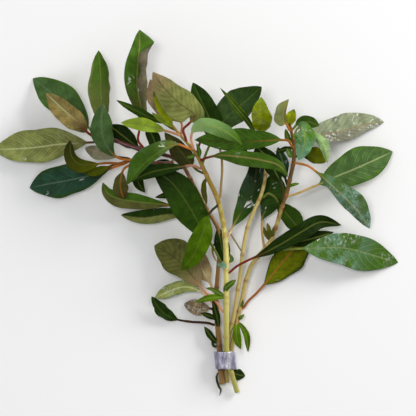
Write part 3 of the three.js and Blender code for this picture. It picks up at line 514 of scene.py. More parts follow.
def leaf_mesh(
    name, route, root, seed, left, right, stalk=0.2, broad=0.5, stalk_width=1, wavy=1, tilt=0,
    rise_left=12, rise_right=12, roll_left=0, roll_right=0, roll_end=1 + ROLL_FADE,
):
    """A closed blade and its stalk along a line, with the marks that its colours follow.

    Each half has a greatest width, an angle that it rises at and one that it rolls up by.
    """
    chance = np.random.default_rng(seed)
    at = np.linspace(0, 1, STATIONS + 1)
    share = (at - stalk) / (1 - stalk)
    blade = blade_width(share, broad)
    on_stalk = 1 - np.minimum(1, blade * STALK_INTO_BLADE)
    tapered = np.clip((at - TAPER_FROM) / (1 - TAPER_FROM), 0, 1)
    narrow = STALK_HALF_WIDTH * stalk_width * (1 - STALK_TAPER * tapered)
    rolled = np.clip((roll_end - share) / ROLL_FADE, 0, np.minimum(1, blade * ROLL_INTO_BLADE))
    across = np.append(np.linspace(0, 1, COLUMNS) ** COLUMN_SPREAD * LAST_COLUMN, 1.0)
    halves = []
    for side, widest, rise, roll in ((-1, left, rise_left, roll_left), (1, right, rise_right, roll_right)):
        uneven = 1 + UNEVENNESS * wandering(chance, share, WIDTH_WAVES)
        width = np.maximum(widest * blade * uneven, narrow)
        out, high, lean = half_section(width, rise * (1 - on_stalk), roll * rolled, across)
        lift = half_relief(chance, share, blade, MARGIN_WAVE * wavy * widest, across)
        over, under = half_thickness(share, width, narrow, on_stalk, across)
        half = []
        for off in (lift + over, lift - under):
            half += [side * (out - off * np.sin(lean)), high + off * np.cos(lean)]
        halves.append([*half, np.broadcast_to(side * across, out.shape), width[:, None] * across])
    joined = [np.concatenate([a[:, ::-1], b[:, 1:]], axis=1) for a, b in zip(*halves)]
    top_x, top_z, low_x, low_z, sign, from_rib = joined
    centre = route.at(at)
    _, aside, up = route.axes(at)
    turn = (np.radians(tilt) * np.minimum(1, blade * TILT_INTO_BLADE))[:, None]

    def placed(x, z):
        aside_by = (x * np.cos(turn) - z * np.sin(turn))[..., None]
        up_by = (x * np.sin(turn) + z * np.cos(turn))[..., None]
        return centre[:, None] + aside[:, None] * aside_by + up[:, None] * up_by

    top, bottom = placed(top_x, top_z), placed(low_x, low_z)[:, 1:-1]
    if root is not None:
        sunk = (root - centre[0]) * np.array(ROOT_STEPS)[:, None, None]
        top = np.concatenate([top[0] + sunk, top])
        bottom = np.concatenate([bottom[0] + sunk, bottom])
        sign, from_rib, share = (np.concatenate([a[:1], a[:1], a]) for a in (sign, from_rib, share))
    rows, wide = sign.shape
    points = np.vstack([top.reshape(-1, 3), bottom.reshape(-1, 3)])
    points[:, 2] = np.maximum(points[:, 2], FLOOR_GAP)
    over = np.ones((rows, wide))
    over[:, [0, -1]] = 0.5
    marks = {
        "along": np.concatenate([np.repeat(share, wide), np.repeat(share, wide - 2)]),
        "across": np.concatenate([sign.ravel(), sign[:, 1:-1].ravel()]),
        "rib": np.concatenate([from_rib.ravel(), from_rib[:, 1:-1].ravel()]),
        "over": np.concatenate([over.ravel(), np.zeros(rows * (wide - 2))]),
    }
    return mesh_piece(name, points, closed_skin(rows, wide), marks)


def leaf_material(
    name, seed, face, back="olive", left_half=None, base=None, base_to=0.45, tip=None, tip_from=0.55,
    edge=None, stalk="green", rib="green", rib_red_to=0.25, midrib=0.5, veins=0.25, shade=1.0,
    wet=0.5, sheen=0, sheen_to=1.5, glints=0,
):
    """Both faces of a blade and its stalk; face names the colour of the one that lies upward."""
    material, wire = new_material(name)
    along, across, from_rib, over = (wire.mark(mark) for mark in ("along", "across", "rib", "over"))
    outward = wire.maths("ABSOLUTE", across)
    wander = (wire.noise(scale=240, detail=1) - 0.5) * 0.5
    phase = (along - (outward**VEIN_CURVE) * VEIN_SWEEP) * SIDE_VEINS + wander
    between_veins = wire.maths("PINGPONG", phase, 0.5)
    clouds = wire.noise(scale=170 + seed % 7 * 9, detail=3).rise(0.3, 0.7)
    # Partly random tone from the clouds, partly painted shade: between_veins makes the side-vein lines
    # darker and the panels between them lighter.
    mottle_and_vein_shade = clouds * 0.65 + between_veins * 0.6
    grain = wire.noise(scale=1100, detail=3)

    def plain(colour):
        return linear(LEAF_COLOURS[colour], shade)

    def mottled_with_vein_shade(colour):
        dark, light = (linear(LEAF_COLOURS[colour], shade * share) for share in (DARK_SHARE, LIGHT_SHARE))
        return mottle_and_vein_shade.mix(dark, light)

    colour = over.rise(*FACES_MEET).mix(mottled_with_vein_shade(back), mottled_with_vein_shade(face))
    # Painted reflection: patches of bluish sheen mixed into the base colour, fading toward sheen_to.
    if sheen:
        patches = wire.noise(scale=95 + seed % 4 * 11, detail=4, stretch=(1, 0.6, 1))
        patches = (patches + (grain - 0.5) * 0.3).rise(0.44, 0.62)
        patches *= along.rise(sheen_to, sheen_to - SHEEN_FADE)
        colour = (patches * sheen).mix(colour, linear(SHEEN))
    if tip:
        toward_tip = (along + (mottle_and_vein_shade - 0.5) * RAGGEDNESS).rise(tip_from, 1.0)
        colour = (toward_tip * TIP_STRENGTH).mix(colour, plain(tip))
    if base:
        toward_base = (along + (mottle_and_vein_shade - 0.5) * RAGGEDNESS).rise(base_to, 0.0)
        colour = (toward_base * BASE_STRENGTH).mix(colour, plain(base))
    if left_half:
        colour = across.rise(*LEFT_SPAN).mix(colour, mottled_with_vein_shade(left_half))
    if edge:
        at_edge = (outward + (mottle_and_vein_shade - 0.5) * EDGE_RAGGEDNESS).rise(*EDGE_SPAN)
        colour = (at_edge * EDGE_STRENGTH).mix(colour, plain(edge))
    # Painted highlights: small white glints between the side veins, where light would catch water on the
    # blade.
    if glints:
        painted_glints = wire.noise(scale=760, detail=3, stretch=(1, 0.6, 1)).rise(0.48, 0.66)
        painted_glints *= wire.noise(scale=85 + seed % 3 * 20).rise(0.42, 0.56)
        painted_glints *= between_veins.rise(0.0, 0.3)
        colour = (painted_glints * glints).mix(colour, linear(GLINT))
    stalk_light, rib_light = STALK_COLOURS[stalk], linear(STALK_COLOURS[rib], shade)
    vein = between_veins.rise(*VEIN_LINE) * outward.rise(*VEIN_ENDS) * along.rise(*VEIN_STARTS)
    colour = (vein * (0.5 + mottle_and_vein_shade * 0.5) * veins).mix(colour, rib_light)
    on_midrib = from_rib.rise(*MIDRIB_SIDES) * along.rise(*MIDRIB_ENDS)
    rib_colour = along.rise(rib_red_to, 0.0).mix(rib_light, linear(stalk_light, shade))
    colour = (on_midrib * midrib).mix(colour, rib_colour)
    stalk_colour = mottle_and_vein_shade.mix(linear(stalk_light, shade * 0.8), linear(stalk_light, shade * 1.1))
    colour = along.rise(*STALK_ENDS).mix(colour, stalk_colour)
    spread = FILM_SPREAD * wet
    film = wire.noise(scale=120 + seed % 5 * 14).rise(FILM_FROM - spread, FILM_TO - spread)
    relief = grain * GRAIN_RELIEF + vein * VEIN_RELIEF + wire.noise(scale=420) * SWELL_RELIEF
    depth = LEAF_RELIEF * MILLIMETRE
    bump = wire.add("Bump", {}, {"Strength": 0.5, "Distance": depth, "Height": relief})
    finish_material(wire, {
        "Base Color": colour,
        "Roughness": DRY_ROUGHNESS - film * FILM_GLOSS + grain * GRAIN_ROUGHNESS,
        "Coat Weight": film * (wet * FILM_COAT),
        "Coat Roughness": 0.08,
        "Specular IOR Level": 0.03,
        "Normal": bump,
    })
    return material


def add_leaf(name, node, midrib, look, **form):
    """One leaf on the stem that its name begins with, with its stalk rooted at a node."""
    seed = sum(map(ord, name))
    route, root = leaf_route(STEMS[name.split("_")[0]], node, midrib)
    blade = leaf_mesh(name + "_blade", route, root, seed, **form)
    blade.data.materials.append(leaf_material(name + "_skin", seed, **look))
    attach(blade, "root")
    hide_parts(name)


add_leaf(
    "main_leaf_lime", node=(-27.6, 135.8, 32.7), left=3.4, right=4.6, stalk=0.26,
    midrib=[(-32.6, 136.2, 37.6), (-39, 137.7, 41), (-48, 139.8, 43), (-61.8, 141.6, 41)],
    look=dict(face="lime", stalk="pink", shade=1.1, wet=0.8),
)
add_leaf(
    "main_leaf_narrow", node=(-30.6, 139, 34.2), left=2.4, right=2.6, stalk=0.12,
    midrib=[(-36.4, 141.4, 34.6), (-45, 145.2, 35), (-55, 150, 34.5), (-64.6, 155.2, 32.5)],
    look=dict(face="green", shade=0.8, wet=0.3),
)
add_leaf(
    "main_leaf_olive", node=(-24.4, 132, 31.3), left=9.6, right=8.9, stalk=0.28, broad=0.39,
    rise_left=-8, rise_right=-8,
    midrib=[
        (-24.8, 137.6, 37.4), (-21, 141.6, 43), (-18, 145.8, 46.4), (-27, 153, 49), (-36, 162, 49),
        (-42.8, 171.6, 45),
    ],
    look=dict(
        face="olive", back="green", tip="rosy", tip_from=0.5, stalk="red", rib="brown", veins=0.35,
        shade=1.08, wet=0.2,
    ),
)
add_leaf(
    "main_leaf_rosy", node=(-27.2, 135.3, 32.6), left=8.2, right=4.6, stalk=0.16, rise_left=-6,
    rise_right=-6,
    midrib=[(-25.8, 141.2, 34.6), (-31, 148.8, 36.8), (-38.8, 157, 39.4), (-44.4, 167.4, 39.4)],
    look=dict(face="rosy", back="green", stalk="pink", rib="tan", veins=0.4, shade=0.98),
)
add_leaf(
    "main_leaf_arched", node=(-20.2, 127.2, 30), left=4.6, right=4.8, stalk=0.22, rise_left=-10,
    rise_right=-16,
    midrib=[
        (-20.2, 132.4, 36), (-18.8, 137, 44.4), (-13.6, 140, 51.6), (-6, 138.9, 53.6), (3, 134.4, 51.2),
        (10.2, 128.4, 45.6),
    ],
    look=dict(
        face="green", base="pale green", base_to=0.95, stalk="pink", midrib=0.35, veins=0.4, shade=1.62,
        wet=0.4,
    ),
)
add_leaf(
    "main_leaf_top", node=(-4.6, 97.6, 23), left=7.6, right=7.4, stalk=0.42,
    midrib=[
        (-2.4, 105, 24.6), (-1.8, 114, 26.6), (-2.4, 123, 28), (-5.4, 133.8, 30.4), (-9.6, 145.2, 33),
        (-14.4, 155.4, 35), (-19.2, 165.6, 35),
    ],
    look=dict(face="deep green", stalk="tan", midrib=0.3, wet=0.3),
)
add_leaf(
    "main_leaf_back", node=(-14.6, 118.6, 27.6), left=10.6, right=8.2, broad=0.56,
    midrib=[(-10.4, 126, 25.6), (-6, 135, 25), (1.8, 146, 26), (12, 154.6, 28.6), (21.6, 163.2, 30.6)],
    look=dict(face="grey green", tip="deep green", midrib=0.3, veins=0.35, shade=0.95, wet=0.3),
)
add_leaf(
    "main_leaf_long", node=(-14.9, 119.4, 28), left=4.2, right=5.2, stalk=0.14, rise_left=-6,
    rise_right=-10,
    midrib=[
        (-11, 121, 33), (-3, 122.4, 36.6), (9, 121.5, 39), (22.2, 119.4, 39.2), (31.8, 116.4, 37.4),
        (37.2, 109.8, 34),
    ],
    look=dict(face="leaf green", stalk="red", rib="tan", rib_red_to=0.15, midrib=0.45, shade=0.95),
)
add_leaf(
    "main_leaf_front", node=(-20, 126.8, 29.8), left=3.2, right=7.6, tilt=-12,
    midrib=[
        (-24, 127.6, 35.6), (-28.2, 128.9, 39), (-34.2, 127.2, 40.4), (-42, 122.4, 39),
        (-49.8, 115.8, 35), (-58.2, 105, 28),
    ],
    look=dict(
        face="leaf green", base="olive", base_to=0.35, edge="grey green", stalk="orange", midrib=0.3,
        veins=0.4, shade=1.12, wet=0.9,
    ),
)
add_leaf(
    "main_leaf_low", node=(-13.4, 115.6, 27), left=3.6, right=3.8,
    midrib=[
        (-19.2, 116.4, 28.2), (-25.8, 115.8, 28.4), (-34.2, 114.6, 27.4), (-45, 112.2, 24.6),
        (-56.4, 106.8, 20.6),
    ],
    look=dict(face="deep green", stalk="pink", midrib=0.4, shade=0.9, wet=0.3),
)
add_leaf(
    "main_leaf_hanging", node=(-3.8, 93, 22), left=6.6, right=6.4, broad=0.45, rise_left=-10,
    rise_right=-14,
    midrib=[(-8.2, 89.4, 27), (-10.8, 84.6, 30.6), (-13.8, 75, 33), (-18.6, 63.6, 31), (-26.4, 54, 25)],
    look=dict(face="bright green", stalk="dark", midrib=0.3, shade=0.85, wet=0.15),
)
add_leaf(
    "main_leaf_shaded", node=(-18, 124.4, 29.2), left=5, right=5, stalk=0.16, rise_left=2, rise_right=2,
    midrib=[(-14.4, 130.4, 31.6), (-7, 132.4, 33), (3, 130.4, 33.4), (13.6, 123.4, 32.6)],
    look=dict(face="deep green", stalk="red", wet=0.6),
)
add_leaf(
    "main_leaf_outer", node=(1, 53, 15), left=5.2, right=5, stalk=0.22, broad=0.52,
    midrib=[
        (6.4, 56, 17.2), (12, 59.2, 19), (22.2, 63.9, 20), (34.2, 70.2, 20), (46.2, 77.4, 18),
        (57, 82.8, 13), (69.6, 81, 6),
    ],
    look=dict(face="shadow green", stalk="red", midrib=0.35, wet=0.3),
)
add_leaf(
    "main_leaf_round", node=(0.6, 30, 11), left=9, right=11.4, stalk=0.3, broad=0.6, rise_left=-4,
    rise_right=4,
    midrib=[
        (-5, 34.8, 12.6), (-12, 41.4, 12.8), (-17.8, 48.4, 12.2), (-25.4, 57.4, 11), (-33.4, 63.8, 9),
        (-42.4, 68.6, 6),
    ],
    look=dict(
        face="dull olive", back="green", base="rosy", base_to=0.5, stalk="pink", rib="dark", midrib=0.6,
        veins=0.8, shade=1.2, wet=0.2,
    ),
)
add_leaf(
    "main_leaf_broad", node=(0.8, 58, 15.8), left=10, right=9.6, stalk=0.22, rise_left=4, rise_right=2,
    midrib=[
        (-5.6, 65, 17.6), (-13.2, 77.4, 18.6), (-21.8, 92.6, 19.6), (-31, 105.4, 19.6),
        (-43, 115, 18.8),
    ],
    look=dict(face="green", tip="black green", tip_from=0.5, midrib=0.35, shade=0.74, wet=0.3),
)
add_leaf(
    "main_leaf_under", node=(-11.8, 112.4, 26.3), left=6.2, right=5, stalk=0.24, broad=0.34,
    rise_left=2, rise_right=2,
    midrib=[(-16.8, 113.8, 23.4), (-21.6, 119, 23.4), (-27.6, 126.4, 24.2), (-36, 136.2, 26)],
    look=dict(face="dull olive", shade=0.5, wet=0.2),
)
add_leaf(
    "main_leaf_sleek", node=(0.2, 72, 18.2), left=6.4, right=6.4, stalk=0.16, rise_left=8, rise_right=2,
    midrib=[
        (3.8, 78.4, 12), (8.6, 87, 9.4), (13.2, 96, 8.8), (17.2, 106.2, 9), (19, 117, 9.4),
        (18.4, 127.4, 10.4),
    ],
    look=dict(
        face="black green", base="green", base_to=0.75, stalk="tan", rib="dark", shade=1.3, wet=1.0,
        sheen=0.1,
    ),
)

# The leaves of the left stem, which lies lowest and turns out to the left. Its outer leaves rest
# on the surface, one tall leaf has rolled over to its pale underside, and the lowest ones have
# browned.

add_leaf(
    "left_leaf_far", node=(-78.6, 132.3, 12.5), left=9.4, right=11.2, stalk=0.06, broad=0.52,
    rise_left=6, rise_right=6,
    midrib=[
        (-84.4, 130.2, 12), (-99, 129.3, 11), (-114, 127.4, 8.4), (-127, 126.6, 5.6),
        (-139, 126.3, 2.6),
    ],
    look=dict(
        face="olive", back="green", base="dull olive", base_to=0.7, stalk="brown", rib="pale",
        midrib=0.6, veins=0.9, shade=1.42, glints=0.12,
    ),
)
add_leaf(
    "left_leaf_upper", node=(-77.2, 132.4, 12.8), left=9, right=9.6, stalk=0.12, rise_left=5,
    rise_right=5,
    midrib=[
        (-80.8, 138.4, 13.6), (-86.4, 145, 14), (-96, 154.2, 12.6), (-106.2, 162, 7.4),
        (-115.2, 168.9, 0.3),
    ],
    look=dict(
        face="grey green", edge="leaf green", rib="grey", midrib=0.4, veins=0.5, shade=1.25, wet=0.3,
    ),
)
add_leaf(
    "left_leaf_young", node=(-78.3, 132.3, 12.5), left=7.2, right=5.8, stalk=0.16, broad=0.46,
    midrib=[(-82.4, 136.6, 18.4), (-87.6, 142.4, 21.4), (-96, 149.6, 22.4), (-106.8, 159.8, 19.4)],
    look=dict(
        face="tan", back="green", base="brown", base_to=0.35, stalk="red", rib="pale", rib_red_to=0.6,
        midrib=0.8, veins=1.0, shade=0.92, wet=0.2,
    ),
)
add_leaf(
    "left_leaf_upright", node=(-74.6, 132.6, 13), left=7.6, right=6.4, stalk=0.16, broad=0.44,
    roll_right=40,
    midrib=[
        (-74.6, 139.2, 16.6), (-73.8, 148.8, 18.6), (-74.1, 162, 18.6), (-74.4, 174, 15.4),
        (-75.6, 185.4, 10.4),
    ],
    look=dict(
        face="leaf green", base="olive", base_to=0.8, edge="olive", midrib=0.4, veins=0.4, shade=0.94,
        wet=0.2,
    ),
)
add_leaf(
    "left_leaf_shade", node=(-51, 126.2, 15.2), left=5.6, right=5.6, stalk=0.06, rise_left=0,
    rise_right=0,
    midrib=[(-55.4, 130, 11.4), (-61, 134.4, 9.6), (-69.6, 141, 7.4)],
    look=dict(face="shadow green", stalk="dark", shade=0.8, wet=0.2),
)
add_leaf(
    "left_leaf_tall", node=(-49, 125.6, 15.3), left=7.4, right=15, stalk=0.24, rise_left=4,
    rise_right=0, roll_right=225, roll_end=0.86,
    midrib=[
        (-51.8, 131.4, 20), (-51, 138, 23), (-49.8, 148.2, 25.4), (-52.2, 162, 26), (-52.2, 174, 25),
        (-51, 187.2, 21), (-51, 197.6, 16.4),
    ],
    look=dict(
        face="leaf green", back="grey brown", base="dull olive", base_to=0.5, stalk="red", rib="tan",
        midrib=0.3, shade=1.22, wet=0.6,
    ),
)
add_leaf(
    "left_leaf_folded", node=(-14, 95.8, 13.9), left=5.2, right=5, stalk=0.24, broad=0.6, rise_left=-10,
    rise_right=16,
    midrib=[
        (-19.8, 93.9, 12), (-27, 92.4, 11), (-39, 93.6, 10.4), (-54, 95.2, 10.8), (-65, 97.2, 11.4),
        (-70.4, 100.6, 12), (-73.2, 106.4, 12),
    ],
    look=dict(face="leaf green", left_half="dull olive", stalk="orange", shade=1.2),
)
add_leaf(
    "left_leaf_boat", node=(-9.6, 87.8, 12.9), left=4.6, right=4.6, broad=0.56, rise_left=6,
    rise_right=14,
    midrib=[(-16, 87.6, 8.4), (-24, 88, 6), (-36, 87.6, 5), (-48, 85.8, 4), (-62.4, 87, 2)],
    look=dict(face="deep green", left_half="olive", rib="dark", shade=1.1, wet=0.4),
)
add_leaf(
    "left_leaf_dusk", node=(-24.6, 115.6, 15.4), left=5, right=5, stalk=0.1, rise_left=0, rise_right=0,
    midrib=[(-29, 115.2, 12), (-36, 115.4, 10.4), (-42, 114.6, 9.4), (-48.4, 112.8, 8.4)],
    look=dict(face="dark blue green", stalk="dark", shade=0.8, wet=0.4),
)
add_leaf(
    "left_leaf_tan", node=(-4.9, 41, 6.4), left=6.6, right=6.4, stalk=0.18, rise_left=0, rise_right=0,
    midrib=[(-8.6, 45.6, 7.4), (-12.6, 52.4, 7.2), (-16.8, 60, 6.6), (-23, 70.4, 4.6)],
    look=dict(face="rosy", back="green", stalk="tan", rib="pale", veins=0.8, shade=1.95, wet=0.3),
)
add_leaf(
    "left_leaf_wet", node=(-5, 34.2, 5.4), left=4, right=4.4, broad=0.6,
    midrib=[(-10, 37.6, 6.2), (-16.2, 42, 5.8), (-24, 44, 5), (-31.8, 42, 4), (-42, 37.2, 3)],
    look=dict(face="olive", edge="green", stalk="pink", rib="pale", shade=1.9, wet=1.0, glints=0.6),
)
add_leaf(
    "left_leaf_stray", node=(-4.5, 21.6, 4.1), left=3.8, right=4.2, stalk=0.48, roll_left=30,
    midrib=[
        (-10.2, 22.3, 3.4), (-21, 23.1, 2.6), (-29.4, 24.6, 2.2), (-37.2, 28.8, 3.2), (-44, 38.2, 8),
    ],
    look=dict(face="deep green", stalk="brown", midrib=0.2, shade=0.8, wet=0.05),
)
add_leaf(
    "left_leaf_brown", node=(-5, 30.4, 4.9), left=4.8, right=4.6, stalk=0.12, rise_left=4, rise_right=2,
    midrib=[(-10, 31.2, 3.6), (-15, 31.5, 2.8), (-24.6, 33.6, 1.8)],
    look=dict(
        face="rosy", back="green", tip="brown", stalk="brown", rib="brown", midrib=0.3, shade=0.98,
        wet=0.9, glints=0.5,
    ),
)

# The leaves of the short branch that forks from the left stem. They crowd at its tip, some wet
# and dark, some yellowing, with long orange stalks.

add_leaf(
    "branch_leaf_front", node=(-55.2, 119.3, 13.2), left=6.6, right=6.8, stalk=0.28, broad=0.54,
    rise_left=-8, rise_right=-8,
    midrib=[
        (-63, 120.8, 21.6), (-68, 124.6, 26.6), (-72.2, 132, 30), (-73.6, 141, 31.6),
        (-72.6, 152.9, 29),
    ],
    look=dict(face="grey green", stalk="orange", rib="grey", veins=0.4),
)
add_leaf(
    "branch_leaf_dark", node=(-59.6, 118.8, 12.8), left=9.4, right=10, stalk=0.16, broad=0.6,
    rise_left=4, rise_right=5,
    midrib=[
        (-65, 116, 9.6), (-72, 113.6, 7.4), (-82.2, 110.4, 5.8), (-96, 107.4, 4.2),
        (-106.2, 105.6, 2.4), (-117.2, 103.2, 0.3),
    ],
    look=dict(
        face="dark blue green", edge="deep green", stalk="orange", rib="grey", midrib=0.35, veins=0.4,
        shade=1.6,
    ),
)
add_leaf(
    "branch_leaf_grey", node=(-57.8, 119.4, 13.1), left=4.4, right=3.6, broad=0.6, rise_left=2,
    rise_right=0,
    midrib=[(-63.6, 121.6, 13.4), (-68.6, 122.6, 12.6), (-75.4, 124.4, 10.4), (-83.8, 127.2, 7)],
    look=dict(
        face="dull silver", back="green", stalk="brown", rib="tan", midrib=0.3, veins=0.5, shade=1.25,
        wet=0.2,
    ),
)
add_leaf(
    "branch_leaf_fallen", node=(-54.6, 119.2, 13.2), left=4.8, right=4.6, stalk=0.34, broad=0.56,
    midrib=[(-60.2, 114.6, 17), (-62.1, 109.2, 18.4), (-62.4, 103.2, 18), (-60.4, 96.4, 16)],
    look=dict(
        face="dull olive", back="green", tip="brown", stalk="orange", rib="orange", veins=0.4,
        shade=0.8, wet=0.3,
    ),
)
add_leaf(
    "branch_leaf_yellow", node=(-59.6, 118.8, 12.8), left=2.9, right=2.9, stalk=0.36, broad=0.55,
    midrib=[(-65.4, 117.4, 13.8), (-71.4, 115, 15), (-78, 112.7, 15.6), (-85, 113.2, 14.6)],
    look=dict(face="yellow green", edge="dark brown", stalk="orange", shade=0.48, wet=0.1),
)
add_leaf(
    "branch_leaf_twisted", node=(-57.4, 119.4, 13), left=5.4, right=3.2, stalk=0.42,
    midrib=[
        (-60.6, 117.8, 19), (-70, 118, 21.4), (-80, 117.2, 21), (-87.4, 117.8, 21.6),
        (-91.6, 122.6, 22), (-92.4, 131.6, 21),
    ],
    look=dict(
        face="yellow green", tip="dark brown", tip_from=-0.4, stalk="orange", shade=0.55, wet=0.1,
    ),
)

# The leaves of the middle stem, which is bare for most of its length: one that bends away from it,
# and a wet, cupped, yellow-green one at its tip with a narrow one beside it.

add_leaf(
    "middle_leaf_curved", node=(21.2, 98.4, 13.1), left=6.4, right=5, stalk=0.34, rise_left=4,
    rise_right=2,
    midrib=[
        (25.6, 99.8, 14.2), (29.6, 97.8, 12.6), (33.4, 92, 8.6), (39, 85.2, 7.4), (43.4, 80, 8.4),
        (47, 76, 10.6),
    ],
    look=dict(face="green", midrib=0.4, shade=0.75, wet=0.3),
)
add_leaf(
    "middle_leaf_lime", node=(22.6, 131.4, 19.8), left=6.4, right=6, broad=0.44, rise_left=10,
    rise_right=4,
    midrib=[(22.6, 137.6, 25), (22, 142.4, 31), (21.2, 148.6, 35), (21.3, 157, 36)],
    look=dict(face="yellow green", tip="lime", tip_from=0.7, shade=1.04, wet=1.0),
)
add_leaf(
    "middle_leaf_edge", node=(22.9, 129, 18.9), left=1.9, right=1.9, stalk=0.1,
    midrib=[(17.8, 135.4, 24), (13.4, 142.8, 30), (5.4, 152.6, 35.4), (-3, 162.4, 37.6)],
    look=dict(face="green", edge="yellow green", wet=0.2),
)

# The leaves of the right stem. The largest lie open on the surface, one is bent down and runs
# with water, and a pale crown of small leaves stands round the tip.

add_leaf(
    "right_leaf_large", node=(9.2, 31.8, 3.9), left=7.2, right=10.6, stalk=0.3, broad=0.54, rise_left=3,
    rise_right=-2,
    midrib=[
        (14, 35.6, 4.2), (18.6, 39.9, 4.4), (25.2, 47.4, 4.4), (33, 57, 4.4), (40.8, 66, 5),
        (52.2, 75.8, 5.4),
    ],
    look=dict(
        face="yellow green", edge="deep green", stalk="orange", rib="orange", rib_red_to=0.3,
        midrib=0.8, veins=0.3, shade=0.68, wet=0.2,
    ),
)
add_leaf(
    "right_leaf_wet", node=(21.4, 64, 7.6), left=9.6, right=11.2, stalk=0.3, broad=0.52, rise_left=4,
    rise_right=2,
    midrib=[
        (25.6, 64.6, 12), (33, 66.3, 13), (45, 66.9, 12.6), (58.2, 67.5, 11.4), (72, 67.2, 9),
        (88.2, 63, 4.4), (103.8, 58.5, 0.3),
    ],
    look=dict(
        face="leaf green", base="bright green", base_to=0.4, tip="leaf green", tip_from=0.0, rib="pale",
        midrib=0.2, veins=0.35, shade=1.12, wet=1.0, sheen=0.9, sheen_to=0.85, glints=0.34,
    ),
)
add_leaf(
    "right_leaf_shade", node=(27, 71, 9), left=4, right=3.6, stalk=0.18, rise_left=2, rise_right=0,
    midrib=[(33, 70.4, 9.2), (42, 70.8, 9), (54, 73.4, 8.6), (65, 76.8, 7.4)],
    look=dict(face="shadow green", stalk="dark", wet=0.3),
)
add_leaf(
    "right_leaf_twisted", node=(24.6, 68, 8.5), left=5, right=10.6, stalk=0.32, broad=0.6, rise_left=2,
    rise_right=2,
    midrib=[
        (22.2, 76.8, 7.8), (22.4, 85.2, 6), (24.8, 94.2, 5), (27.2, 103.2, 4.8), (30.4, 112.8, 5.4),
    ],
    look=dict(face="deep green", stalk="tan", rib="dark", midrib=0.4, shade=1.3, wet=0.6),
)
add_leaf(
    "right_leaf_behind", node=(35.4, 96.2, 13.2), left=5.2, right=5.2, stalk=0.3, rise_left=2,
    rise_right=2,
    midrib=[
        (34.2, 103.4, 17), (31.8, 109.2, 20.4), (28.4, 115.4, 23), (24.6, 121.6, 24.6),
        (18, 128.6, 25.4),
    ],
    look=dict(face="shadow green", stalk="dark", shade=1.1, wet=0.3),
)
add_leaf(
    "right_leaf_deep", node=(38, 105.6, 14.8), left=4, right=3.4, stalk=0.12, rise_left=0, rise_right=0,
    midrib=[(35.6, 110.8, 11.4), (34.6, 118, 10.4), (31.6, 127.6, 11)],
    look=dict(face="dark blue green", stalk="dark"),
)
add_leaf(
    "right_leaf_open", node=(36.4, 99, 13.8), left=11.4, right=10, stalk=0.28, broad=0.52, rise_left=4,
    rise_right=2,
    midrib=[
        (43.2, 99.9, 12.6), (51, 103.2, 11.6), (58.8, 106.5, 11.4), (67.2, 110.4, 11.4),
        (76.2, 114, 10.6), (87, 118.8, 8.6), (100.4, 125, 4),
    ],
    look=dict(
        face="grey green", edge="leaf green", stalk="tan", rib="pale", midrib=0.4, veins=0.35,
        shade=1.32, wet=0.3,
    ),
)
add_leaf(
    "right_leaf_bent", node=(41, 118.4, 17.2), left=8, right=4.8, stalk=0.22, broad=0.56, rise_left=-4,
    rise_right=-20,
    midrib=[
        (45.4, 117.4, 21), (49.4, 116.2, 24), (54.6, 112.5, 25.4), (61.8, 106.2, 25.4),
        (70.2, 98.4, 22.4), (78, 90.6, 16), (86.6, 79, 4.4),
    ],
    look=dict(
        face="grey green", base="leaf green", base_to=0.6, stalk="orange", rib="pale", midrib=0.3,
        shade=1.25, wet=1.0, sheen=0.8, glints=0.3,
    ),
)
add_leaf(
    "right_leaf_silver", node=(41, 126.6, 19.3), left=9.6, right=6, stalk=0.14, broad=0.46, rise_left=6,
    rise_right=2,
    midrib=[
        (46.6, 129.6, 16.4), (52.8, 133, 13.6), (60, 135.3, 11), (70.2, 137.4, 8.6), (82.2, 141, 5),
        (95.4, 142.8, 0.3),
    ],
    look=dict(
        face="silver", back="green", left_half="ashen", stalk="tan", rib="tan", veins=0.2, shade=0.76,
        wet=1.0, glints=0.8,
    ),
)
add_leaf(
    "right_leaf_crown", node=(40, 134, 22.2), left=6, right=6, stalk=0.28, broad=0.4, rise_left=-8,
    rise_right=-8,
    midrib=[
        (42.6, 138, 30), (45.2, 139, 35), (47.2, 134.4, 38), (46.4, 127.2, 36), (43.6, 119.6, 30.5),
    ],
    look=dict(
        face="leaf green", tip="blue green", tip_from=0.3, shade=1.8, wet=1.0, sheen=0.2, glints=0.25,
    ),
)
add_leaf(
    "right_leaf_pale", node=(40.6, 131, 20.8), left=4.6, right=2.2, stalk=0.26, rise_left=-30,
    rise_right=-10,
    midrib=[(47, 133.6, 25), (53.4, 133.2, 28.6), (57.8, 128.6, 30.4), (60.8, 118, 28)],
    look=dict(face="pale green", shade=1.05, wet=0.9, glints=0.2),
)
add_leaf(
    "right_leaf_olive", node=(41.1, 122.4, 18.2), left=5.6, right=4, stalk=0.14, rise_left=2,
    rise_right=2,
    midrib=[(46.6, 123.4, 20.4), (52, 122.4, 20.8), (60, 118.4, 20)],
    look=dict(face="yellow green", base="deep green", base_to=0.4, shade=0.45, wet=0.2),
)
add_leaf(
    "right_leaf_north", node=(39, 137.8, 24), left=3.8, right=3.8, stalk=0.12, rise_left=2,
    rise_right=2,
    midrib=[(43.6, 141.6, 23), (48.4, 142.6, 22), (56, 140.6, 19)],
    look=dict(face="leaf green", shade=0.6, wet=0.3),
)
add_leaf(
    "right_leaf_ashen", node=(38.8, 138.6, 24.4), left=5.8, right=1.6, stalk=0.26, broad=0.3,
    midrib=[(36.8, 140.6, 27.8), (35.2, 142.8, 29.4), (34.8, 148.4, 30.4), (37.8, 155.8, 29)],
    look=dict(
        face="olive", back="green", stalk="orange", rib="tan", midrib=0.4, shade=0.95, wet=0.2,
        sheen=0.3,
    ),
)
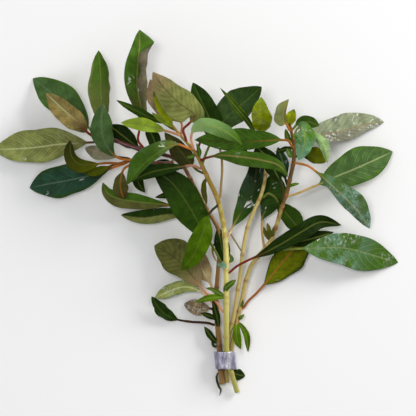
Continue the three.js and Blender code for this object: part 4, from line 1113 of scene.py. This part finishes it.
add_leaf(
    "right_leaf_wide", node=(41, 128.6, 19.9), left=5.2, right=8, stalk=0.18, rise_left=4, rise_right=2,
    midrib=[
        (37.4, 131.2, 26), (33, 131.6, 30), (24, 131.2, 33.6), (10.8, 130.3, 36), (-4, 130.4, 37),
        (-18, 131.6, 35),
    ],
    look=dict(
        face="leaf green", stalk="orange", rib="brown", rib_red_to=0.5, midrib=0.4, shade=0.76, wet=0.4,
    ),
)

# The young shoots: small bright leaves, still folded close, at the tips and in the axils of the
# older leaves. Some have darkened or browned. The same form, drawn narrow, makes two bare leaf
# stalks and the two thin roots near the cut ends.

SHOOT_FORM = dict(stalk=-0.087, broad=0.55, stalk_width=0.5, wavy=1.4)
SHOOT_SEED = 3
SHOOT_LOOKS = {
    "tip": dict(face="bright yellow", tip="leaf green", tip_from=0.8, shade=1.1),
    "lime": dict(face="lime", shade=1.1, wet=0.7),
    "fresh": dict(face="leaf green", shade=1.2, wet=0.6),
    "young": dict(face="bright green", shade=1.1, wet=0.3),
    # The wet shoots carry a painted sheen that stands for reflected light.
    "wet": dict(face="blue green", wet=1.0, sheen=0.8),
    "browned": dict(face="yellow green", rib="tan", shade=0.45),
    "dark": dict(face="shadow green", midrib=0.3, shade=1.2, wet=0.3),
    "twig": dict(face="tan", base="brown", rib="tan", shade=1.2, wet=0.3),
    "root": dict(face="grey green", rib="dark", shade=0.8, wet=0.3),
}

SHOOTS = {
    "main": [
        ("tip", 3.2, [
            (-31.8, 140.8, 35.1), (-34.4, 145.5, 40.5), (-38.4, 152.4, 44.4), (-42.6, 160, 44.6),
        ]),
        ("lime", 1.8, [
            (-30.4, 139.2, 34.2), (-35, 142, 38), (-39.6, 144.8, 40.2), (-43.6, 147.8, 39.8),
        ]),
        ("fresh", 1.3, [(-15.6, 120.6, 28), (-15.4, 125, 32), (-17, 129.6, 33.6)]),
        ("fresh", 1.2, [(-17.4, 123.6, 29), (-19.8, 121.6, 31.4), (-22.8, 121.3, 31.6)]),
        ("young", 2, [(0.2, 37.8, 12.4), (-4.8, 38.1, 15.4), (-10.2, 37.4, 16.6), (-18, 34.8, 15.4)]),
        ("fresh", 1.3, [(-0.2, 39, 12.7), (-3.4, 40.4, 15.6), (-7.4, 42.6, 16.4), (-11.6, 43.4, 15.6)]),
        ("fresh", 1.9, [(0, 40.2, 13), (0.6, 43.4, 15.8), (3.4, 46, 16.6), (6.6, 48.4, 15.6)]),
        ("wet", 1.5, [(1.6, 57, 15.9), (-0.4, 56.8, 18.4), (-5.2, 57.8, 17.6)]),
        ("fresh", 1.1, [(1.4, 58.4, 16), (4, 60.2, 15.6), (2.8, 64, 16.4)]),
        ("browned", 1.7, [
            (-10.6, 109.6, 25.4), (-12.6, 105.6, 23), (-12.4, 99.6, 20.4), (-10.8, 93.4, 19),
        ]),
    ],
    "left": [
        ("dark", 2, [(-3.8, 10, 3.6), (-7, 12.6, 4.8), (-10, 16.6, 4.8), (-12.4, 20.2, 4)]),
        ("dark", 1.7, [(-4.8, 24, 4.4), (-8.2, 26.2, 7), (-11.2, 27.2, 7.4), (-14.6, 28.4, 7.2)]),
        ("dark", 2, [(-4.3, 19, 4), (-4.2, 22.6, 7), (-5.4, 28.2, 8), (-7.4, 36.4, 9.4)]),
        ("root", 0.7, [
            (-2.9, -5.6, 3), (-5, -9.6, 2.6), (-3.9, -15.4, 1.6), (-2.6, -18, 1.5), (-3.4, -21.6, 1.2),
        ]),
        ("root", 0.9, [(-4, 8.6, 3.3), (-6.6, 8.4, 4.4), (-7.4, 11.6, 4.2), (-6.4, 13.6, 4.4)]),
        ("twig", 0.6, [(-3.4, 72.6, 11.4), (-7.4, 68, 13), (-6.8, 62.4, 13.4), (-4.6, 58.6, 13.2)]),
        ("dark", 4.6, [(-4, 78.4, 12), (-2.8, 73, 13), (-1.4, 66, 13), (0.8, 58, 11.6)]),
        ("dark", 2.4, [(-17.4, 102, 14.4), (-22.4, 101, 11.4), (-31.8, 99.6, 9.8), (-42, 97.4, 9)]),
        ("dark", 4, [(-39.6, 123.5, 16), (-41, 128, 18.6), (-43.2, 134, 19.6), (-46.8, 141.8, 19.4)]),
    ],
    "branch": [
        ("dark", 3.4, [(-51, 118.8, 13.4), (-52.4, 113, 11), (-52, 106.8, 9.4), (-48, 100.4, 8.4)]),
    ],
    "middle": [
        ("twig", 0.5, [(10.2, 64.6, 9.4), (7, 69.8, 10.6), (4, 74.6, 10.8), (1.6, 78.6, 10.4)]),
    ],
    "right": [
        ("young", 2.6, [(7, 22.4, 3.6), (6.9, 19, 6.3), (7.2, 13.2, 6.7), (9.4, 6.6, 5.4)]),
        ("young", 1.9, [(7.2, 23, 3.6), (10, 20.4, 4.8), (13, 14.4, 4.2), (13.8, 4.8, 2.2)]),
        ("fresh", 1.1, [(7.3, 24.2, 3.6), (9.2, 25.4, 5.4), (11.6, 27.6, 5)]),
        ("fresh", 0.9, [(8.6, 30.4, 3.9), (10.4, 33.6, 6), (10.6, 36.4, 7)]),
        ("dark", 3.4, [(3.7, -6.5, 1.9), (6, -8, 1.7), (8.4, -8.8, 1.6), (12, -9.6, 1.4)]),
        ("browned", 1.5, [(27.2, 72, 9.4), (26.4, 77, 12), (25.2, 82.4, 12)]),
        ("browned", 1.2, [(26.8, 71.6, 9.4), (24.4, 75.6, 11.4), (23, 80.2, 11.8)]),
        ("browned", 1.2, [(27.6, 73, 9.4), (28.6, 76.4, 13), (28.6, 79.6, 14.2)]),
        ("young", 1, [(37.6, 103.4, 14.6), (40.2, 105, 17), (44.4, 105.8, 16.6)]),
        ("fresh", 1.9, [(40.8, 121.6, 18), (38.6, 123.6, 20.6), (36.8, 127, 21)]),
        ("fresh", 1.7, [(40.8, 130.4, 20.6), (37.6, 132.6, 22.4), (36, 138.4, 22.4)]),
        ("dark", 1.6, [(41, 127, 19.6), (37, 126.6, 17.8), (30, 124.6, 16.6)]),
        ("tip", 3.3, [(38.2, 140.4, 25.3), (38.6, 144, 28.6), (41.1, 149.8, 30.6)]),
    ],
}

shoot_skins = {
    name: leaf_material(name + "_shoot", SHOOT_SEED, **look) for name, look in SHOOT_LOOKS.items()
}
for key, shoots in SHOOTS.items():
    for number, (look, half_width, midrib) in enumerate(shoots, 1):
        sizes = {**SHOOT_FORM, "left": half_width, "right": half_width}
        shoot = leaf_mesh(f"{key}_shoot_{number}", Route(midrib), None, number, **sizes)
        shoot.data.materials.append(shoot_skins[look])
        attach(shoot, "root")
        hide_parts(STEMS[key]["piece"])

# The plant weight: one strip of soft grey metal, cut with shears and bent by hand once round the
# stems, so that its ends overlap on top. It is pressed flat below and dented where fingers closed it.

STRIP_WIDTH = 10.4
STRIP_THICKNESS = 0.55
STRIP_ACROSS = 12.5
STRIP_HEIGHT = 9.5
STRIP_SQUARENESS = 0.84
STRIP_START = math.radians(62)
OVERLAP_TURN = 0.09
INNER_END = 0.2
OUTER_INSET = 0.55
STEPS_ROUND = 150
STEPS_WIDE = 15
STEPS_AT_EDGE = 5
EDGE_ROUNDING = 0.22
DENT = 0.1
BROAD_DENTS = ((5.1, 0.3), (2.3, 0.62))
FINE_DENTS = (11.3, -0.9)
FINE_SHARE = 0.5
PRESSED_TOWARD_TOP, PRESSED_AT_SIDE, PRESSED_BELOW = 1.5, 0.4, 0.05
DRIFT_WAVES = ((0.12, 3, 0), (0.08, 7, 1))
SKEW = 0.11
FOLD_SHADE_SHARPNESS = 6
# Where and how wide a highlight is painted along the strip's top.
SHINE_AT = 2.3
SHINE_WIDTH = 1.1
METAL_DARK, METAL_PALE = (112, 111, 132), (170, 167, 186)
METAL_WORN_AND_HIGHLIT, METAL_FOLD_SHADE = (226, 222, 230), (104, 104, 124)
RUBBED_SPOTS, HIGHLIGHT_RIDGE, WEAR_AND_HIGHLIGHT = 0.6, 1.4, 0.8
FOLD_SHADE_STRENGTH = 0.35
METAL_GRAIN = 0.3


def strip_line(angle, around):
    """The strip's middle line round the stems, in X and Z, with its ends one over the other."""
    covered = np.clip((INNER_END - around) / OVERLAP_TURN, 0, 1)
    inset = STRIP_THICKNESS * (OUTER_INSET + covered)
    half_x = STRIP_ACROSS / 2 - inset
    half_z = STRIP_HEIGHT / 2 - inset
    half_z = np.where(np.sin(angle) < 0, STRIP_HEIGHT / 2 - STRIP_THICKNESS / 2, half_z)
    x = half_x * np.sign(np.cos(angle)) * np.abs(np.cos(angle)) ** STRIP_SQUARENESS
    z = half_z * np.sign(np.sin(angle)) * np.abs(np.sin(angle)) ** STRIP_SQUARENESS + STRIP_HEIGHT / 2
    return np.stack([x, z], -1)


def strip_section():
    """The strip's cut, once round its rounded edges: places across it and off its middle."""
    half = STRIP_THICKNESS / 2
    flat = np.linspace(-1, 1, STEPS_WIDE) * (STRIP_WIDTH / 2 - EDGE_ROUNDING)
    bend = np.linspace(np.pi / 2, -np.pi / 2, STEPS_AT_EDGE)
    edge_y = STRIP_WIDTH / 2 - EDGE_ROUNDING + EDGE_ROUNDING * np.cos(bend)
    edge_n = half * np.sin(bend)
    y = np.concatenate([flat, edge_y[1:], flat[::-1][1:], -edge_y[::-1][1:-1]])
    above, below = np.full(STEPS_WIDE, half), np.full(STEPS_WIDE - 1, -half)
    return y, np.concatenate([above, edge_n[1:], below, edge_n[::-1][1:-1]])


def dent_wave(angle, y, wave, start=0):
    """Waves over the strip, which run by so much round it and by so much across it."""
    around, across = wave
    return np.sin(around * angle + across * y + start)


def strip_dents(angle, y):
    """How far fingers pressed the strip in, most of all on top and at the sides."""
    broad = dent_wave(angle, y, BROAD_DENTS[0]) * dent_wave(angle, y, BROAD_DENTS[1])
    fine = FINE_SHARE * dent_wave(angle, y, FINE_DENTS, 1)
    highest = 1 + FINE_SHARE
    pressed = np.clip(np.sin(angle) * PRESSED_TOWARD_TOP + PRESSED_AT_SIDE, PRESSED_BELOW, 1)
    return DENT * (broad + fine - highest) / highest * pressed


def strip_mesh():
    """The section carried a little more than once round, closed where the metal was cut."""
    around = np.linspace(0, 1 + OVERLAP_TURN, STEPS_ROUND)
    angle = STRIP_START + 2 * np.pi * around
    line = strip_line(angle, around)
    ahead = np.gradient(line, axis=0)
    ahead /= np.linalg.norm(ahead, axis=1, keepdims=True)
    outward = np.stack([ahead[:, 1], -ahead[:, 0]], -1)
    y, off_middle = strip_section()
    drift = sum(size * np.sin(waves * angle + start) for size, waves, start in DRIFT_WAVES)
    reach = off_middle[None, :] + strip_dents(angle[:, None], y)
    points = np.empty((len(around), len(y), 3))
    points[..., 0] = line[:, None, 0] + outward[:, None, 0] * reach - SKEW * y
    points[..., 1] = y[None, :] + drift[:, None]
    points[..., 2] = np.maximum(line[:, None, 1] + outward[:, None, 1] * reach, FLOOR_GAP)
    rows, wide = points.shape[:2]
    grid = np.arange(rows * wide).reshape(rows, wide)
    following = np.roll(grid, -1, axis=1)
    corners = (grid[:-1], following[:-1], following[1:], grid[1:])
    faces = np.stack([c.ravel() for c in corners], axis=1).tolist()
    faces.append(grid[0][::-1].tolist())
    faces.append(grid[-1].tolist())
    # Painted shade: the strip is darker at the four bends of its loop.
    fold = np.abs(np.sin(2 * angle)) ** FOLD_SHADE_SHARPNESS
    # Painted highlight: a bright band across the strip at SHINE_AT.
    shine = np.exp(-(((points[..., 0] - SHINE_AT) / SHINE_WIDTH) ** 2))
    marks = {"fold": np.repeat(fold, wide), "shine": shine}
    return mesh_piece("plant_weight_strip", points.reshape(-1, 3), faces, marks)


def strip_material():
    """Dull clouded metal with bright rubbed spots, a painted highlight along one ridge and painted shade in
    its folds.
    """
    material, wire = new_material("strip_metal")
    clouds = wire.noise(scale=190, detail=4).rise(0.3, 0.7)
    wear_and_highlight = wire.noise(scale=640, detail=3, stretch=(1, 0.25, 1)).rise(0.45, 0.75)
    # Real rubbed spots and the painted highlight along the ridge share one bright colour.
    wear_and_highlight = (wear_and_highlight * RUBBED_SPOTS + wire.mark("shine") * HIGHLIGHT_RIDGE) * WEAR_AND_HIGHLIGHT
    colour = clouds.mix(linear(METAL_DARK), linear(METAL_PALE))
    colour = wear_and_highlight.mix(colour, linear(METAL_WORN_AND_HIGHLIT))
    # Painted shade in the bends of the loop.
    colour = (wire.mark("fold") * FOLD_SHADE_STRENGTH).mix(colour, linear(METAL_FOLD_SHADE))
    grain = wire.noise(scale=1500, detail=3, stretch=(1, 0.2, 1)) + wire.noise(scale=300)
    depth = METAL_GRAIN * MILLIMETRE
    bump = wire.add("Bump", {}, {"Strength": 0.35, "Distance": depth, "Height": grain})
    finish_material(wire, {
        "Base Color": colour,
        "Metallic": 0.7,
        "Roughness": 0.42 - wear_and_highlight * 0.12,
        "Normal": bump,
    })
    return material


strip = strip_mesh()
strip.data.materials.append(strip_material())
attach(strip, "root")
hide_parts("plant_weight")

# The white surface that the bunch lies on, lit by a low window at the upper right, a lamp above
# and a pale room that is darker right overhead. The camera looks straight down.

VIEW_WIDTH = 0.2496
VIEW_CENTRE = (-0.0102, 0.0912)
CAMERA_HEIGHT = 3.0
SENSOR_WIDTH = 36.0
SURFACE_SIZE = 6.0
SURFACE_COLOUR = (0.94, 0.94, 0.945, 1)
LIGHTS = {
    "window": dict(size=0.8, place=(1.28, 1.1, 0.73), power=26.0, colour=(1.0, 0.985, 0.96)),
    "ceiling_lamp": dict(size=0.4, place=(-0.3, 0.3, 1.6), power=7.0, colour=(1.0, 0.99, 0.97)),
}
ROOM_COLOUR = (0.965, 0.975, 1.0, 1)
ROOM_STRENGTH = 0.53
OVERHEAD_COLOUR = (0.06, 0.06, 0.06, 1)
OVERHEAD_FROM, OVERHEAD_TO = 0.84, 0.98

bpy.ops.mesh.primitive_plane_add(size=SURFACE_SIZE)
surface = bpy.context.object
surface.name = "white_surface"
white, wire = new_material("white_surface")
finish_material(wire, {"Base Color": SURFACE_COLOUR, "Roughness": 0.8, "Specular IOR Level": 0.1})
surface.data.materials.append(white)

for name, lit in LIGHTS.items():
    light = bpy.data.lights.new(name, "AREA")
    light.size = lit["size"]
    light.energy = lit["power"]
    light.color = lit["colour"]
    lamp = bpy.data.objects.new(name, light)
    lamp.location = lit["place"]
    x, y, z = np.subtract((*VIEW_CENTRE, 0), lit["place"])
    lamp.rotation_euler = (math.atan2(math.hypot(x, y), -z), 0, math.atan2(-x, y))
    bpy.context.scene.collection.objects.link(lamp)

room = bpy.data.worlds.new("pale_room")
room.use_nodes = True
room.node_tree.nodes.clear()
wire = Wire(room.node_tree)
height = wire.add("SeparateXYZ", {}, {"Vector": wire.add("TexCoord")}, output=2)
overhead = height.rise(OVERHEAD_FROM, OVERHEAD_TO)
glow = {"Color": overhead.mix(ROOM_COLOUR, OVERHEAD_COLOUR), "Strength": ROOM_STRENGTH}
wire.add("OutputWorld", {}, {"Surface": wire.add("Background", {}, glow)})
bpy.context.scene.world = room
bpy.context.scene.view_settings.view_transform = "Standard"

lens = bpy.data.cameras.new("overhead")
lens.sensor_width = SENSOR_WIDTH
lens.lens = SENSOR_WIDTH * CAMERA_HEIGHT / VIEW_WIDTH
camera = bpy.data.objects.new("overhead", lens)
camera.location = (*VIEW_CENTRE, CAMERA_HEIGHT)
bpy.context.scene.collection.objects.link(camera)
bpy.context.scene.camera = camera
